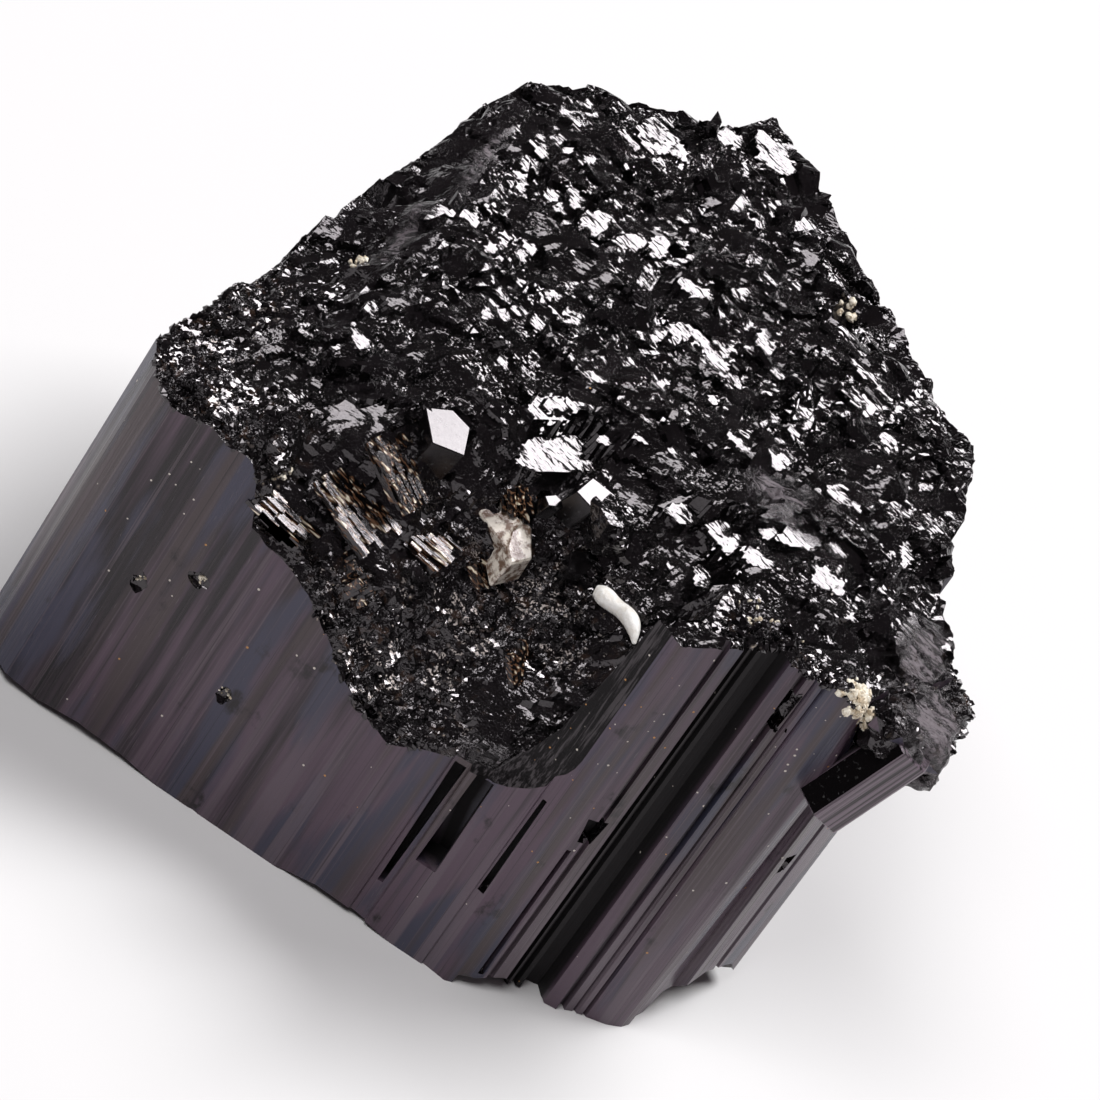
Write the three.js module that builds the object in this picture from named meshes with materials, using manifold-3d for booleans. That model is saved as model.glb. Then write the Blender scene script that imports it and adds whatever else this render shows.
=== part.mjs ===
// A stubby crystal of black tourmaline, broken across at both ends, as one solid.
//
// Millimetres, +Z up. The long axis of the crystal (its c-axis) is Z. The body is a ribbed
// prism. Its upper end is a rough fracture with a deep bite out of the front, and its lower
// end is a broken base with flat patches at z = 0, on which it stands.
// The sides are: front (-Y), a ribbed front-right, right (+X), two at the back, and left.

import * as THREE from "three";
import { ConvexGeometry } from "three/addons/geometries/ConvexGeometry.js";
import { mergeVertices } from "three/addons/utils/BufferGeometryUtils.js";
import Module from "manifold-3d";

// ---------- driving dimensions, mm ----------

const NAME = "tourmaline_crystal";

const FRONT = { from: [-15.0, 0.2], to: [14.9, 0.6] };       // the broad flat face
const FRONT_RIGHT = { from: [14.9, 0.6], to: [25.3, 6.4] };  // the deeply ribbed face
const RIGHT = { from: [26.1, 8.2], to: [28.9, 15.6] };
const RIGHT_REAR = { from: [27.4, 17.0], to: [24.5, 24.4] };
const RIGHT_CORNER = { from: [24.5, 25.4], to: [23.2, 30.8] };
const BACK_RIGHT = { from: [21.9, 32.8], to: [5.0, 47.0] };
const BACK_LEFT = { from: [2.6, 47.8], to: [-9.7, 37.4] };
const LEFT = { from: [-11.7, 33.8], to: [-17.6, 6.2] };
const LEFT_BEVEL = [[-17.9, 3.6], [-16.9, 1.7]];             // the blunt front-left edge

const TOP = 29.0;              // the highest part of the fracture, before its roughness
const SHOULDER_START = [-18, 1];  // the front-left edge, where the fracture is lowest
const SHOULDER_DROP = 6.6;     // how far the fracture falls towards it
const SHOULDER_REACH = 20.0;   // and over what distance
const BITE_RIM = [             // how deep the bite is along the front, as [x, depth]
  [-9.8, 0.0], [-9.1, 1.0], [-8.5, 4.2], [-5.5, 5.7], [-3.4, 7.6], [-1.4, 9.3], [0.3, 11.0],
  [2.2, 13.2], [4.5, 15.5], [5.9, 15.0], [8.2, 14.5], [9.5, 14.6], [14.0, 14.3],
];
const BITE_DEPTH = 16.4;       // the depth that the bite loses from the front to its back
const BITE_BACK = 14.5;
const BITE_MIDDLE = 4.6;       // the bite's lowest point along X
const BITE_RIGHT = 7.2;        // from there to the wall that ends it, at the front
const BITE_RIGHT_MOST = 10.4;  // the wall runs back and to the right as far as this
const BITE_WALL_SPREAD = 0.9;
const BITE_WALL_POWER = 8;     // the higher, the steeper the wall
const BITE_LOBES = 1.7;        // the bulges on the floor of the bite
const BITE_LOBE_SIZE = [3.4, 3.0];
const BITE_LIP = 6.0;          // its floor is as smooth as it gets once it is this deep
const RIM_CALM = 5.0;          // the fracture is less rough this near to the front face
const CELL = [4.2, 2.5];       // one flake of the fracture, along X and along Y
const CELL_DRIFT = [0.35, 6.0];  // how far, in flakes, their rows wander, and how slowly
const FLAKE_STEP = 1.15;       // how far neighbouring flakes differ in height
const FLAKE_TILT = 0.34;       // their steepest slope
const RIDGE_PITCH = 6.6;       // the ridges that run across the fracture, along X
const RIDGE_TURN = 0.055;      // how far they turn from X, in pitches for each mm
const RIDGE_WANDER = [0.35, 9.0];
const RIDGE_HEIGHT = 1.3;
const RIDGE_RISE = 0.78;       // the part of a pitch that rises; the rest falls
const GRIT = 0.45;             // fine roughness of the fracture
const GRIT_SIZE = 1.3;
const SHELL_RADIUS = 11.3;     // the smooth shell-shaped break at the right of the bite: a
const SHELL_CENTRE = [9.56, -9.6, 18.15];  // ball around this point, drawn out upwards
const SHELL_HEIGHT = 14;
const LEFT_FALL = 3.4;         // the steep side that runs down to the left edge
const LEFT_FALL_X = [-13.2, -9.0];  // lowest and level
const RIGHT_FALL = 1.8;        // how far the fracture sinks above the right side
const RIGHT_FALL_X = [19, 27];      // level and lowest

const BLOCK = { x: [-20.5, 32.5], y: [-2.5, 50.5] };  // what the two rough ends are cut from
const BLOCK_LOW = -4.0;        // the blocks reach below the base and above the fracture
const BLOCK_HIGH = TOP + 12.0;
const TOP_CELLS = 46;
const BASE_CELLS = 20;
const BASE_RELIEF = 1.5;       // how far the broken base hollows upwards
const BASE_WAVES = [[8.0, 0.65], [3.1, 0.35]];  // wavelength and share of that
const BASE_FLAT = 0.05;        // what is lower than this stays flat

// Slots where single ribs have broken out of a face: the face, then the middle along it, the
// width at the lower and the upper end, the depth, and the lowest and highest level.
const SLOTS = [
  [FRONT, 23.8, 0.4, 0.85, 1.8, 3.2, 13.2],
  [FRONT, 25.4, 1.45, 1.2, 2.4, 6.0, 13.4],
  [FRONT, 28.7, 0.5, 0.3, 1.2, 6.6, 14.4],
  [FRONT_RIGHT, 1.7, 0.4, 0.3, 0.8, 1.2, 12.0],
  [FRONT_RIGHT, 2.2, 0.9, 1.4, 0.9, 12.8, 14.6],
  [FRONT_RIGHT, 7.7, 0.6, 1.0, 1.1, 24.4, 27.0],
  [RIGHT, 2.6, 0.8, 1.2, 0.8, 12.0, 13.4],
];
const SLOT_TAPER = 0.8;        // the floor of a slot is this much narrower than its mouth

const RIB_STEP = 0.1;          // half the width of the step between two uneven ribs
const RIB_UNEVENNESS = 0.6;    // how far their widths differ
const RIB_SHALLOW = 0.45;      // two ribs in three are this much shallower

// Rough balls that are cut away or added: the middle, the radius, how tall for its width, and
// the number that makes its shape differ from the others.
const CHIPS = [                // off the bottom edge, so that ribs end above the ground
  [[17.6, 1.0, -0.6], 2.6, 0.9, 51], [[19.6, 2.6, -1.2], 2.2, 0.9, 52],
  [[28.6, 11.0, -0.4], 4.4, 0.85, 53], [[29.6, 17.4, -0.8], 4.2, 0.8, 54],
  [[-18.6, 4.6, -0.8], 3.0, 0.9, 55], [[-13.8, 36.6, -0.8], 3.6, 0.8, 56],
  [[5.0, 49.6, -0.6], 3.6, 0.8, 57], [[25.2, 34.0, -0.6], 3.4, 0.9, 58],
];
const PITS = [                 // in the faces
  [[-8.7, -0.2, 13.8], 0.85, 1.0, 59], [[-11.4, -0.35, 11.3], 0.8, 1.3, 60],
  [[-4.1, -0.15, 8.1], 0.75, 1.2, 61], [[22.2, 4.0, 24.4], 0.9, 1.0, 62],
];
const LUMPS = [                // that stand out at the right of the fracture
  [[27.9, 10.6, 24.6], 3.0, 1.0, 71], [[28.2, 14.4, 23.4], 3.0, 1.1, 72],
  [[25.9, 17.6, 24.2], 2.8, 0.9, 73], [[27.2, 8.2, 26.2], 2.2, 0.8, 74],
];
const LUMP_ROUGHNESS = [0.78, 0.3];  // nearest corner, and how much further the others may be

// Flat-faced crystals on the fracture: the middle, the way it faces, radius, thickness, turn.
const FACET_CRYSTALS = [
  [[-2.3, 9.0, 26.4], [0.05, -0.42, 0.9], 1.5, 3.4, 0.3],
  [[8.0, 8.0, 27.2], [-0.1, -0.5, 0.86], 1.0, 2.6, 0.9],
];
const FACET_SIDES = 5;
const FACET_REACH = [1.12, 0.9];  // its corners are further out and further in by turns
const FACET_FLARE = 1.25;      // how much wider such a crystal is at its root

// The small second crystal at the right. Its blunt end points down and to the front.
const SIDE = { tip: [26.3, 6.8, 20.2], root: [28.4, 8.4, 26.0], radius: 1.9, ribs: 9 };
const SIDE_RIB_DEPTH = 0.93;   // the inner corners of its ribs, against its radius
const SIDE_RIB_SKEW = 0.22;
const SIDE_THREE = 0.12;       // how far it is three-sided rather than round
const SIDE_BEVEL = {
  bevelSize: 0.45, bevelThickness: 0.5, bevelSegments: 1, bevelOffset: -0.45,
};

// ---------- small helpers ----------

const wasm = await Module();
wasm.setup();

// A closed geometry as a solid that can be joined and cut.
function solid(geometry) {
  const plain = geometry.index ? geometry.toNonIndexed() : geometry.clone();
  plain.deleteAttribute("normal");
  plain.deleteAttribute("uv");
  const merged = mergeVertices(plain, 1e-4);
  const mesh = new wasm.Mesh({
    numProp: 3,
    vertProperties: new Float32Array(merged.attributes.position.array),
    triVerts: new Uint32Array(merged.index.array),
  });
  return new wasm.Manifold(mesh);
}

function geometryOf(manifold) {
  const mesh = manifold.getMesh();
  const geometry = new THREE.BufferGeometry();
  geometry.setAttribute("position", new THREE.BufferAttribute(mesh.vertProperties, 3));
  geometry.setIndex(new THREE.BufferAttribute(mesh.triVerts, 1));
  return geometry;
}

// A repeatable value between 0 and 1 for a pair of whole numbers.
function chance(i, j, salt = 0) {
  const wave = Math.sin(i * 127.1 + j * 311.7 + salt * 74.7) * 43758.5453;
  return wave - Math.floor(wave);
}

const smoothstep = THREE.MathUtils.smoothstep;
const lerp = THREE.MathUtils.lerp;

// Smooth noise between -1 and 1.
function noise(x, y, salt) {
  const i = Math.floor(x);
  const j = Math.floor(y);
  const u = smoothstep(x - i, 0, 1);
  const v = smoothstep(y - j, 0, 1);
  const low = lerp(chance(i, j, salt), chance(i + 1, j, salt), u);
  const high = lerp(chance(i, j + 1, salt), chance(i + 1, j + 1, salt), u);
  return 2 * lerp(low, high, v) - 1;
}

// ---------- the cross-section ----------

// Points along a face from one corner to the other, where each rib is [along, depth]: how
// far along the face in mm, and how far in from it.
function ribbed(face, ribs) {
  const start = new THREE.Vector2(...face.from);
  const along = new THREE.Vector2(...face.to).sub(start).normalize();
  const inward = new THREE.Vector2(-along.y, along.x);
  return ribs.map(([distance, depth]) =>
    start.clone().addScaledVector(along, distance).addScaledVector(inward, depth));
}

// Ribs of uneven width and depth for a whole face, from a repeatable sequence.
function unevenRibs(face, count, depth, salt) {
  const length = Math.hypot(face.to[0] - face.from[0], face.to[1] - face.from[1]);
  const ribs = [[0, 0]];
  for (let n = 1; n < count; n += 1) {
    const place = length * (n + RIB_UNEVENNESS * (chance(n, salt) - 0.5)) / count;
    const before = ribs.at(-1)[1];
    const after = depth * chance(n, salt, 3) * (n % 3 === 0 ? 1 : RIB_SHALLOW);
    ribs.push([place - RIB_STEP, before], [place + RIB_STEP, after]);
  }
  ribs.push([length, 0]);
  return ribs;
}

const frontRibs = [
  [0, 0], [5.9, 0], [6.1, 0.05], [12.6, 0.03], [12.9, 0.1], [13.3, 0.03],
  [18.7, 0.0], [18.9, 0.07], [23.2, 0.05], [23.3, 0.2], [24.3, 0.24], [24.4, 0.06],
  [28.3, 0.1], [28.4, 0.24], [29.9, 0.04],
];

// The wide rib beside the bite, a narrow groove, the deep twin groove with a thin ridge in it,
// the widest groove, then finer ribs and the broad rib that ends this face.
const frontRightRibs = [
  [2.15, 0.0], [2.25, 0.4], [2.5, 0.4], [2.55, 0.08], [3.35, 0.14],
  [3.5, 1.15], [3.85, 1.25], [3.92, 0.7], [4.05, 0.7], [4.12, 1.35], [4.5, 1.3],
  [4.58, 0.95], [4.85, 0.9], [4.95, 1.75], [6.15, 1.6],
  [6.3, 0.3], [7.1, 0.04], [7.2, 0.62], [7.55, 0.58],
  [7.65, 0.16], [8.15, 0.22], [8.25, 0.42], [8.45, 0.12], [8.75, 0.1], [8.85, 0.32],
  [9.0, 0.04], [10.3, -0.12], [11.3, 0.0], [11.85, 0.35], [12.15, 0.95],
];

const rightRibs = [
  [0, 0.7], [1.4, 0.7], [1.5, 0.05], [3.6, 0.0], [3.7, 0.4], [4.1, 0.4],
  [4.2, 0.0], [6.9, 0.0], [7.6, 0.3],
];

const outline = new THREE.Shape([
  ...ribbed(FRONT, frontRibs),
  ...ribbed(FRONT_RIGHT, frontRightRibs),
  ...ribbed(RIGHT, rightRibs),
  ...ribbed(RIGHT_REAR, unevenRibs(RIGHT_REAR, 7, 0.6, 1)),
  ...ribbed(RIGHT_CORNER, unevenRibs(RIGHT_CORNER, 5, 0.5, 5)),
  ...ribbed(BACK_RIGHT, unevenRibs(BACK_RIGHT, 17, 0.9, 2)),
  ...ribbed(BACK_LEFT, unevenRibs(BACK_LEFT, 15, 0.6, 3)),
  ...ribbed(LEFT, unevenRibs(LEFT, 19, 0.6, 4)),
  ...LEFT_BEVEL.map(([x, y]) => new THREE.Vector2(x, y)),
]);

// ---------- the two broken ends ----------

// The value at x of a line through points [x, value].
function lineAt(points, x) {
  const next = points.findIndex(([place]) => place > x);
  if (next <= 0) {
    return points.at(next)[1];
  }
  const [[x0, low], [x1, high]] = [points[next - 1], points[next]];
  return lerp(low, high, (x - x0) / (x1 - x0));
}

// How deep the bite is at a place: a hollow open to the front, with a wall at its right.
function bite(x, y) {
  const back = Math.max(0, y) / BITE_BACK;
  const floor = lineAt(BITE_RIM, x) - BITE_DEPTH * back;
  const across = Math.max(0, x - BITE_MIDDLE);
  const reach = Math.min(BITE_RIGHT_MOST, BITE_RIGHT + BITE_WALL_SPREAD * Math.max(0, y));
  const wall = BITE_DEPTH * (1 - Math.pow(across / reach, BITE_WALL_POWER));
  return Math.max(0, Math.min(wall, floor));
}

// Flat flakes at different heights and tilts, longer along X than along Y.
function flakes(x, y) {
  const [drift, slowness] = CELL_DRIFT;
  const u = x / CELL[0] + drift * noise(x / slowness, y / slowness, 11);
  const v = y / CELL[1] + drift * noise(x / slowness, y / slowness, 12);
  let nearest = Infinity;
  let height = 0;
  for (let i = Math.floor(u) - 1; i <= Math.floor(u) + 1; i += 1) {
    for (let j = Math.floor(v) - 1; j <= Math.floor(v) + 1; j += 1) {
      const du = u - i - chance(i, j, 1);
      const dv = v - j - chance(i, j, 2);
      const distance = Math.hypot(du, dv);
      if (distance < nearest) {
        nearest = distance;
        const slopeX = (chance(i, j, 3) - 0.5) * 2 * FLAKE_TILT * CELL[0];
        const slopeY = (chance(i, j, 4) - 0.5) * 2 * FLAKE_TILT * CELL[1];
        height = FLAKE_STEP * (chance(i, j, 5) - 0.5) + slopeX * du + slopeY * dv;
      }
    }
  }
  return height;
}

// Ridges along X: each rises slowly from the front and drops steeply behind its crest.
function ridges(x, y) {
  const [wander, slowness] = RIDGE_WANDER;
  const turned = y / RIDGE_PITCH + RIDGE_TURN * x;
  const phase = turned + wander * noise(x / slowness, y / slowness, 21);
  const saw = phase - Math.floor(phase);
  const shape = saw < RIDGE_RISE ? saw / RIDGE_RISE : (1 - saw) / (1 - RIDGE_RISE);
  return RIDGE_HEIGHT * (shape - 0.5) * (0.75 + 0.5 * noise(x / 7, y / 5, 22));
}

// How far the fracture falls towards the front-left edge, the left edge and the right side.
function falls(x, y) {
  const inland = 0.5 * (x - SHOULDER_START[0]) + 0.85 * (y - SHOULDER_START[1]);
  const shoulder = SHOULDER_DROP * (1 - smoothstep(inland, 0, SHOULDER_REACH));
  const beside = smoothstep(y, 7, 14) * (1 - 0.3 * smoothstep(y, 27, 34));
  const left = LEFT_FALL * (1 - smoothstep(x, ...LEFT_FALL_X)) * beside;
  const right = RIGHT_FALL * smoothstep(x, ...RIGHT_FALL_X) * (1 - smoothstep(y, 18, 30));
  return shoulder + left + right;
}

function fractureHeight(x, y) {
  const hollow = bite(x, y);
  const inBite = Math.min(1, hollow / BITE_LIP);
  const grit = GRIT * noise(x / GRIT_SIZE, y / GRIT_SIZE, 31);
  const rough = (flakes(x, y) + ridges(x, y) + grit) * (1 - 0.4 * inBite);
  const lobes = BITE_LOBES * inBite * noise(x / BITE_LOBE_SIZE[0], y / BITE_LOBE_SIZE[1], 32);
  const calm = lerp(0.4, 1, smoothstep(y, 0, RIM_CALM));
  return TOP - falls(x, y) - hollow + calm * (lobes + rough);
}

// Flat at z = 0 over most of its area, and hollowed a little elsewhere.
function baseHeight(x, y) {
  const waves = BASE_WAVES.map(([size, share], n) => share * noise(x / size, y / size, 41 + n));
  const relief = waves[0] + waves[1] - BASE_FLAT;
  return BASE_RELIEF * Math.max(0, relief);
}

// A block whose top or bottom follows a height function.
function roughBlock(cells, bottom, top) {
  const width = BLOCK.x[1] - BLOCK.x[0];
  const depth = BLOCK.y[1] - BLOCK.y[0];
  const block = new THREE.BoxGeometry(width, depth, 2, cells, cells, 1);
  block.translate((BLOCK.x[0] + BLOCK.x[1]) / 2, (BLOCK.y[0] + BLOCK.y[1]) / 2, 0);
  const place = block.attributes.position;
  for (let n = 0; n < place.count; n += 1) {
    const end = place.getZ(n) > 0 ? top : bottom;
    const z = typeof end === "function" ? end(place.getX(n), place.getY(n)) : end;
    place.setZ(n, z);
  }
  return solid(block);
}

// ---------- what is added and what is chipped away ----------

// A rough lump: a ball with its corners moved in and out.
function lump([x, y, z], radius, squash, salt) {
  const ball = new THREE.IcosahedronGeometry(1, 2);
  const place = ball.attributes.position;
  const [nearest, further] = LUMP_ROUGHNESS;
  const corners = [];
  for (let n = 0; n < place.count; n += 1) {
    // The key is the same for a corner wherever it is repeated, and differs from the others.
    const corner = new THREE.Vector3().fromBufferAttribute(place, n);
    const key = [Math.round(corner.x * 50), Math.round(corner.y * 50 + corner.z * 3000)];
    corner.multiplyScalar(radius * (nearest + further * chance(...key, salt)));
    corners.push(new THREE.Vector3(corner.x + x, corner.y + y, corner.z * squash + z));
  }
  const rough = new THREE.BufferGeometry().setFromPoints(corners);
  return solid(rough);
}

// A flat-faced crystal that grew on the fracture: a five-sided prism facing a direction.
function facetCrystal([x, y, z], facing, radius, thickness, turn) {
  const corners = [];
  for (let n = 0; n < FACET_SIDES; n += 1) {
    const angle = turn + n * 2 * Math.PI / FACET_SIDES;
    const reach = radius * FACET_REACH[n % 2];
    const corner = [reach * Math.cos(angle), reach * Math.sin(angle)];
    corners.push(new THREE.Vector3(corner[0], corner[1], 0));
    const root = corner.map((value) => value * FACET_FLARE);
    corners.push(new THREE.Vector3(...root, -thickness));
  }
  const crystal = new ConvexGeometry(corners);
  const towards = new THREE.Vector3(...facing).normalize();
  const turned = new THREE.Quaternion().setFromUnitVectors(new THREE.Vector3(0, 0, 1), towards);
  crystal.applyQuaternion(turned);
  crystal.translate(x, y, z);
  return solid(crystal);
}

// The second crystal: a three-sided prism with bulging sides and ribs along it.
function sideCrystal() {
  const tip = new THREE.Vector3(...SIDE.tip);
  const root = new THREE.Vector3(...SIDE.root);
  const corners = [];
  for (let n = 0; n < SIDE.ribs * 2; n += 1) {
    const inner = n % 2 === 1;
    const angle = (n - (inner ? SIDE_RIB_SKEW : 0)) * Math.PI / SIDE.ribs;
    const threeSided = 1 - SIDE_THREE * Math.cos(3 * angle);
    const reach = SIDE.radius * (inner ? SIDE_RIB_DEPTH : 1) * threeSided;
    corners.push(new THREE.Vector2(reach * Math.cos(angle), reach * Math.sin(angle)));
  }
  const length = tip.distanceTo(root);
  const shape = new THREE.Shape(corners);
  const prism = new THREE.ExtrudeGeometry(shape, { depth: length, ...SIDE_BEVEL });
  const up = new THREE.Vector3(0, 0, 1);
  const axis = root.clone().sub(tip).normalize();
  prism.applyQuaternion(new THREE.Quaternion().setFromUnitVectors(up, axis));
  prism.translate(tip.x, tip.y, tip.z);
  return solid(prism);
}

// A slot cut into a face: its middle along the face, its lower and upper width, depth and levels.
function slot(face, along, lowWidth, highWidth, depth, zLow, zHigh) {
  const box = new THREE.BoxGeometry(1, 2 * depth, zHigh - zLow);
  const place = box.attributes.position;
  for (let n = 0; n < place.count; n += 1) {
    const width = place.getZ(n) > 0 ? highWidth : lowWidth;
    place.setX(n, place.getX(n) * width * (place.getY(n) > 0 ? SLOT_TAPER : 1));
  }
  const angle = Math.atan2(face.to[1] - face.from[1], face.to[0] - face.from[0]);
  box.rotateZ(angle);
  const [x, y] = [face.from[0] + along * Math.cos(angle), face.from[1] + along * Math.sin(angle)];
  box.translate(x, y, (zLow + zHigh) / 2);
  return solid(box);
}

// ---------- the crystal ----------

// The smooth shell-shaped break on the right of the bite.
function shell() {
  const bullet = new THREE.CapsuleGeometry(SHELL_RADIUS, SHELL_HEIGHT, 24, 64);
  bullet.rotateX(Math.PI / 2);
  bullet.translate(0, 0, SHELL_HEIGHT / 2);
  bullet.translate(...SHELL_CENTRE);
  return solid(bullet);
}

// Everything below the ground, wider than the crystal.
function ground() {
  const [width, depth] = [BLOCK.x[1] - BLOCK.x[0] + 20, BLOCK.y[1] - BLOCK.y[0] + 20];
  const slab = new THREE.BoxGeometry(width, depth, 20);
  slab.translate((BLOCK.x[0] + BLOCK.x[1]) / 2, (BLOCK.y[0] + BLOCK.y[1]) / 2, -10);
  return solid(slab);
}

function crystal() {
  const height = BLOCK_HIGH - BLOCK_LOW;
  const prism = new THREE.ExtrudeGeometry(outline, { depth: height, bevelEnabled: false });
  prism.translate(0, 0, BLOCK_LOW);
  let body = solid(prism);
  body = body.intersect(roughBlock(TOP_CELLS, BLOCK_LOW, fractureHeight));
  body = body.intersect(roughBlock(BASE_CELLS, baseHeight, BLOCK_HIGH));
  body = body.subtract(shell());
  for (const cut of SLOTS) {
    body = body.subtract(slot(...cut));
  }
  for (const chip of [...CHIPS, ...PITS]) {
    body = body.subtract(lump(...chip));
  }
  for (const piece of LUMPS) {
    body = body.add(lump(...piece));
  }
  body = body.add(sideCrystal());
  for (const facet of FACET_CRYSTALS) {
    body = body.add(facetCrystal(...facet));
  }
  body = body.subtract(ground());

  // One solid with no closed pocket in it: only the outer skin is kept.
  const skins = body.decompose();
  return skins.reduce((most, skin) => (skin.volume() > most.volume() ? skin : most));
}

const geometry = geometryOf(crystal());

// The origin is at the middle of the crystal's box, on the ground.
geometry.computeBoundingBox();
const box = geometry.boundingBox;
geometry.translate(-(box.min.x + box.max.x) / 2, -(box.min.y + box.max.y) / 2, -box.min.z);

const black = new THREE.MeshStandardMaterial({ color: 0x1c191b, roughness: 0.22, metalness: 0.0 });
const tourmaline = new THREE.Mesh(geometry, black);
tourmaline.name = NAME;

const part = new THREE.Group();
part.add(tourmaline);

export default part;
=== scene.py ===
"""A black tourmaline crystal: a ribbed prism, broken across, standing on its base.

The fracture on top is glassy and splintered, the prism faces are finely striated, and smaller
crystals, flakes, needles and grains have grown on it. Sizes are in metres.
"""

import math
import random

import bpy
import numpy as np
from bpy.props import FloatProperty, FloatVectorProperty, IntProperty, PointerProperty
from mathutils import Matrix, Quaternion, Vector
from mathutils.bvhtree import BVHTree


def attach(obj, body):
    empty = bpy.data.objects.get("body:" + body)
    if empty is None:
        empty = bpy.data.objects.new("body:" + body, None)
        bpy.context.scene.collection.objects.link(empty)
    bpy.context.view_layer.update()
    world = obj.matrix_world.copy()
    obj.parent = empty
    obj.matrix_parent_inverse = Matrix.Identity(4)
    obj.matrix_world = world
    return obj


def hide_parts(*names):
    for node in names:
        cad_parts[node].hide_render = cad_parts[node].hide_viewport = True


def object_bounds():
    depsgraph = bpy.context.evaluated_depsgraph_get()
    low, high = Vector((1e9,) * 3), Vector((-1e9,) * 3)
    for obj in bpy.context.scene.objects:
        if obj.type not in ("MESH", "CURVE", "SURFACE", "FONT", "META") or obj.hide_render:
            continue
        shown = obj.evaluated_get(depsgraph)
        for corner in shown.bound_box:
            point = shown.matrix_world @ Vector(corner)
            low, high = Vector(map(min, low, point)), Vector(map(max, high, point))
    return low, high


bl_info = {
    "name": "Black tourmaline crystal",
    "version": (1, 0, 0),
    "blender": (4, 5, 0),
    "location": "3D View > Sidebar > Tourmaline",
    "description": "Builds the surface of a black tourmaline crystal around its solid",
    "category": "Object",
}

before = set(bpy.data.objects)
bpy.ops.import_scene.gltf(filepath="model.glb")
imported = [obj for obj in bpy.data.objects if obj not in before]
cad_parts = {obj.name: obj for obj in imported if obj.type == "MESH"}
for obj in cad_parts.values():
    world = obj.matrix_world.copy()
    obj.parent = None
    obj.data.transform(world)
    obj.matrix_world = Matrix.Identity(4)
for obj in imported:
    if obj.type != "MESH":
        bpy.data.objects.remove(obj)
SOLID_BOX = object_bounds()

MM = 0.001
NODE = "tourmaline_crystal"
BODY = "root"
BOX_MARGIN = 0.002 * MM  # how far every piece stays inside the solid's box
WELD = 0.002 * MM  # corners of the solid's triangles that are nearer than this become one

# Places on the solid, in mm. The solid's origin is at the middle of its box, and these come
# from the same drawing, whose own zero is this far from it.
DRAWING = Vector((-6.641, -24.0, 0.0))
SHELL_CENTRE = Vector((9.56, -9.6, 18.15)) + DRAWING  # the break is drawn out upwards from here
SHELL_RADIUS = 11.3
SIDE_TIP = Vector((26.3, 6.8, 20.2)) + DRAWING
SIDE_ROOT = Vector((28.4, 8.4, 26.0)) + DRAWING
SIDE_RADIUS = 1.9
SUNK_REACH = 1.12  # the solid's own side crystal is found within this many radii of its axis,
SUNK_RADIUS = 0.68  # and narrowed to this share of its width,
SUNK_TIP = 0.12  # and its tip drawn back by this share of its length

# How a facet faces that sends the window's light to the camera, and its slope along x and y.
GLINT_FACING = Vector((0.214, -0.257, 0.942))
GLINT_SLOPE = (-0.227, 0.273, 0.0)

BLACK_FACE = Vector((-0.63, -0.66, 0.41)).normalized()  # the polished face of the side crystal

# The sockets of a Mix node for each kind of value: the first, the second and the result.
MIX_SOCKETS = {"RGBA": (6, 7, 2), "VECTOR": (4, 5, 1)}

# The kinds of face that the body has, in the order of its material slots.
PRISM, FRACTURE, SHELL, BASE = range(4)
UPRIGHT = 0.03  # a face whose normal rises or falls by less than this is a prism face
LOOKS_DOWN = -0.1  # a face whose normal falls by more than this belongs to the base,
BASE_TOP = 5 * MM  # below this height
ON_SHELL = 0.12 * MM  # a face of the shell-shaped break is this near to its true form,
INTO_SHELL = -0.97  # and looks straight at its middle
IN_GROOVE = 0.3  # a face that is at least this deep in a slot is a prism face,
GROOVE_TOP = 12 * MM  # below this height
LIP_TOP = 23 * MM  # the dull lip of the shell-shaped break ends at this height
HOLLOW_TOP, HOLLOW_FLOOR = 23 * MM, 20 * MM  # between these the hollow's pale specks set in, partly pale grains and partly painted glints
INLAND_RINGS = 4  # vertices this many edges from the fracture's rim move freely
FAR_RINGS = 9.0  # more edges than are ever counted
SMOOTH_ANGLE = math.radians(28)
LEVEL_STEP = 3.1 * MM  # between the level cuts of the prism faces
LEVEL_CUTS = range(1, 9)
BREAK_CUTS = 2  # how finely the shell-shaped break and the base are divided
CRUST_GRAINS = 1100
CRUST_GRAIN = (0.10, 0.30)  # the smallest and the largest, mm
LENS, SENSOR = 214.0, 36.0  # mm
FLOOR_SIZE = 8.0


# ---------- properties ----------

def length_setting(name, description, default):
    return FloatProperty(name=name, description=description, default=default,
                         subtype="DISTANCE", unit="LENGTH")


def colour_setting(name, description, default):
    return FloatVectorProperty(name=name, description=description, subtype="COLOR",
                               default=default, min=0, max=1)


class SurfaceSettings(bpy.types.PropertyGroup):
    """How rough and how finely ribbed the crystal is."""

    flake_cuts: IntProperty(
        name="Fracture cuts", description="How finely the fracture is divided",
        default=5, min=1, max=8)
    rib_pitch: length_setting(
        "Rib pitch", "Distance between the fine ribs of the prism faces", 0.5 * MM)
    rib_height: length_setting("Rib height", "How far the fine ribs stand out", 0.07 * MM)
    splinter: length_setting("Splinter size", "Length of one splinter of the fracture", 1.4 * MM)


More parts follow.
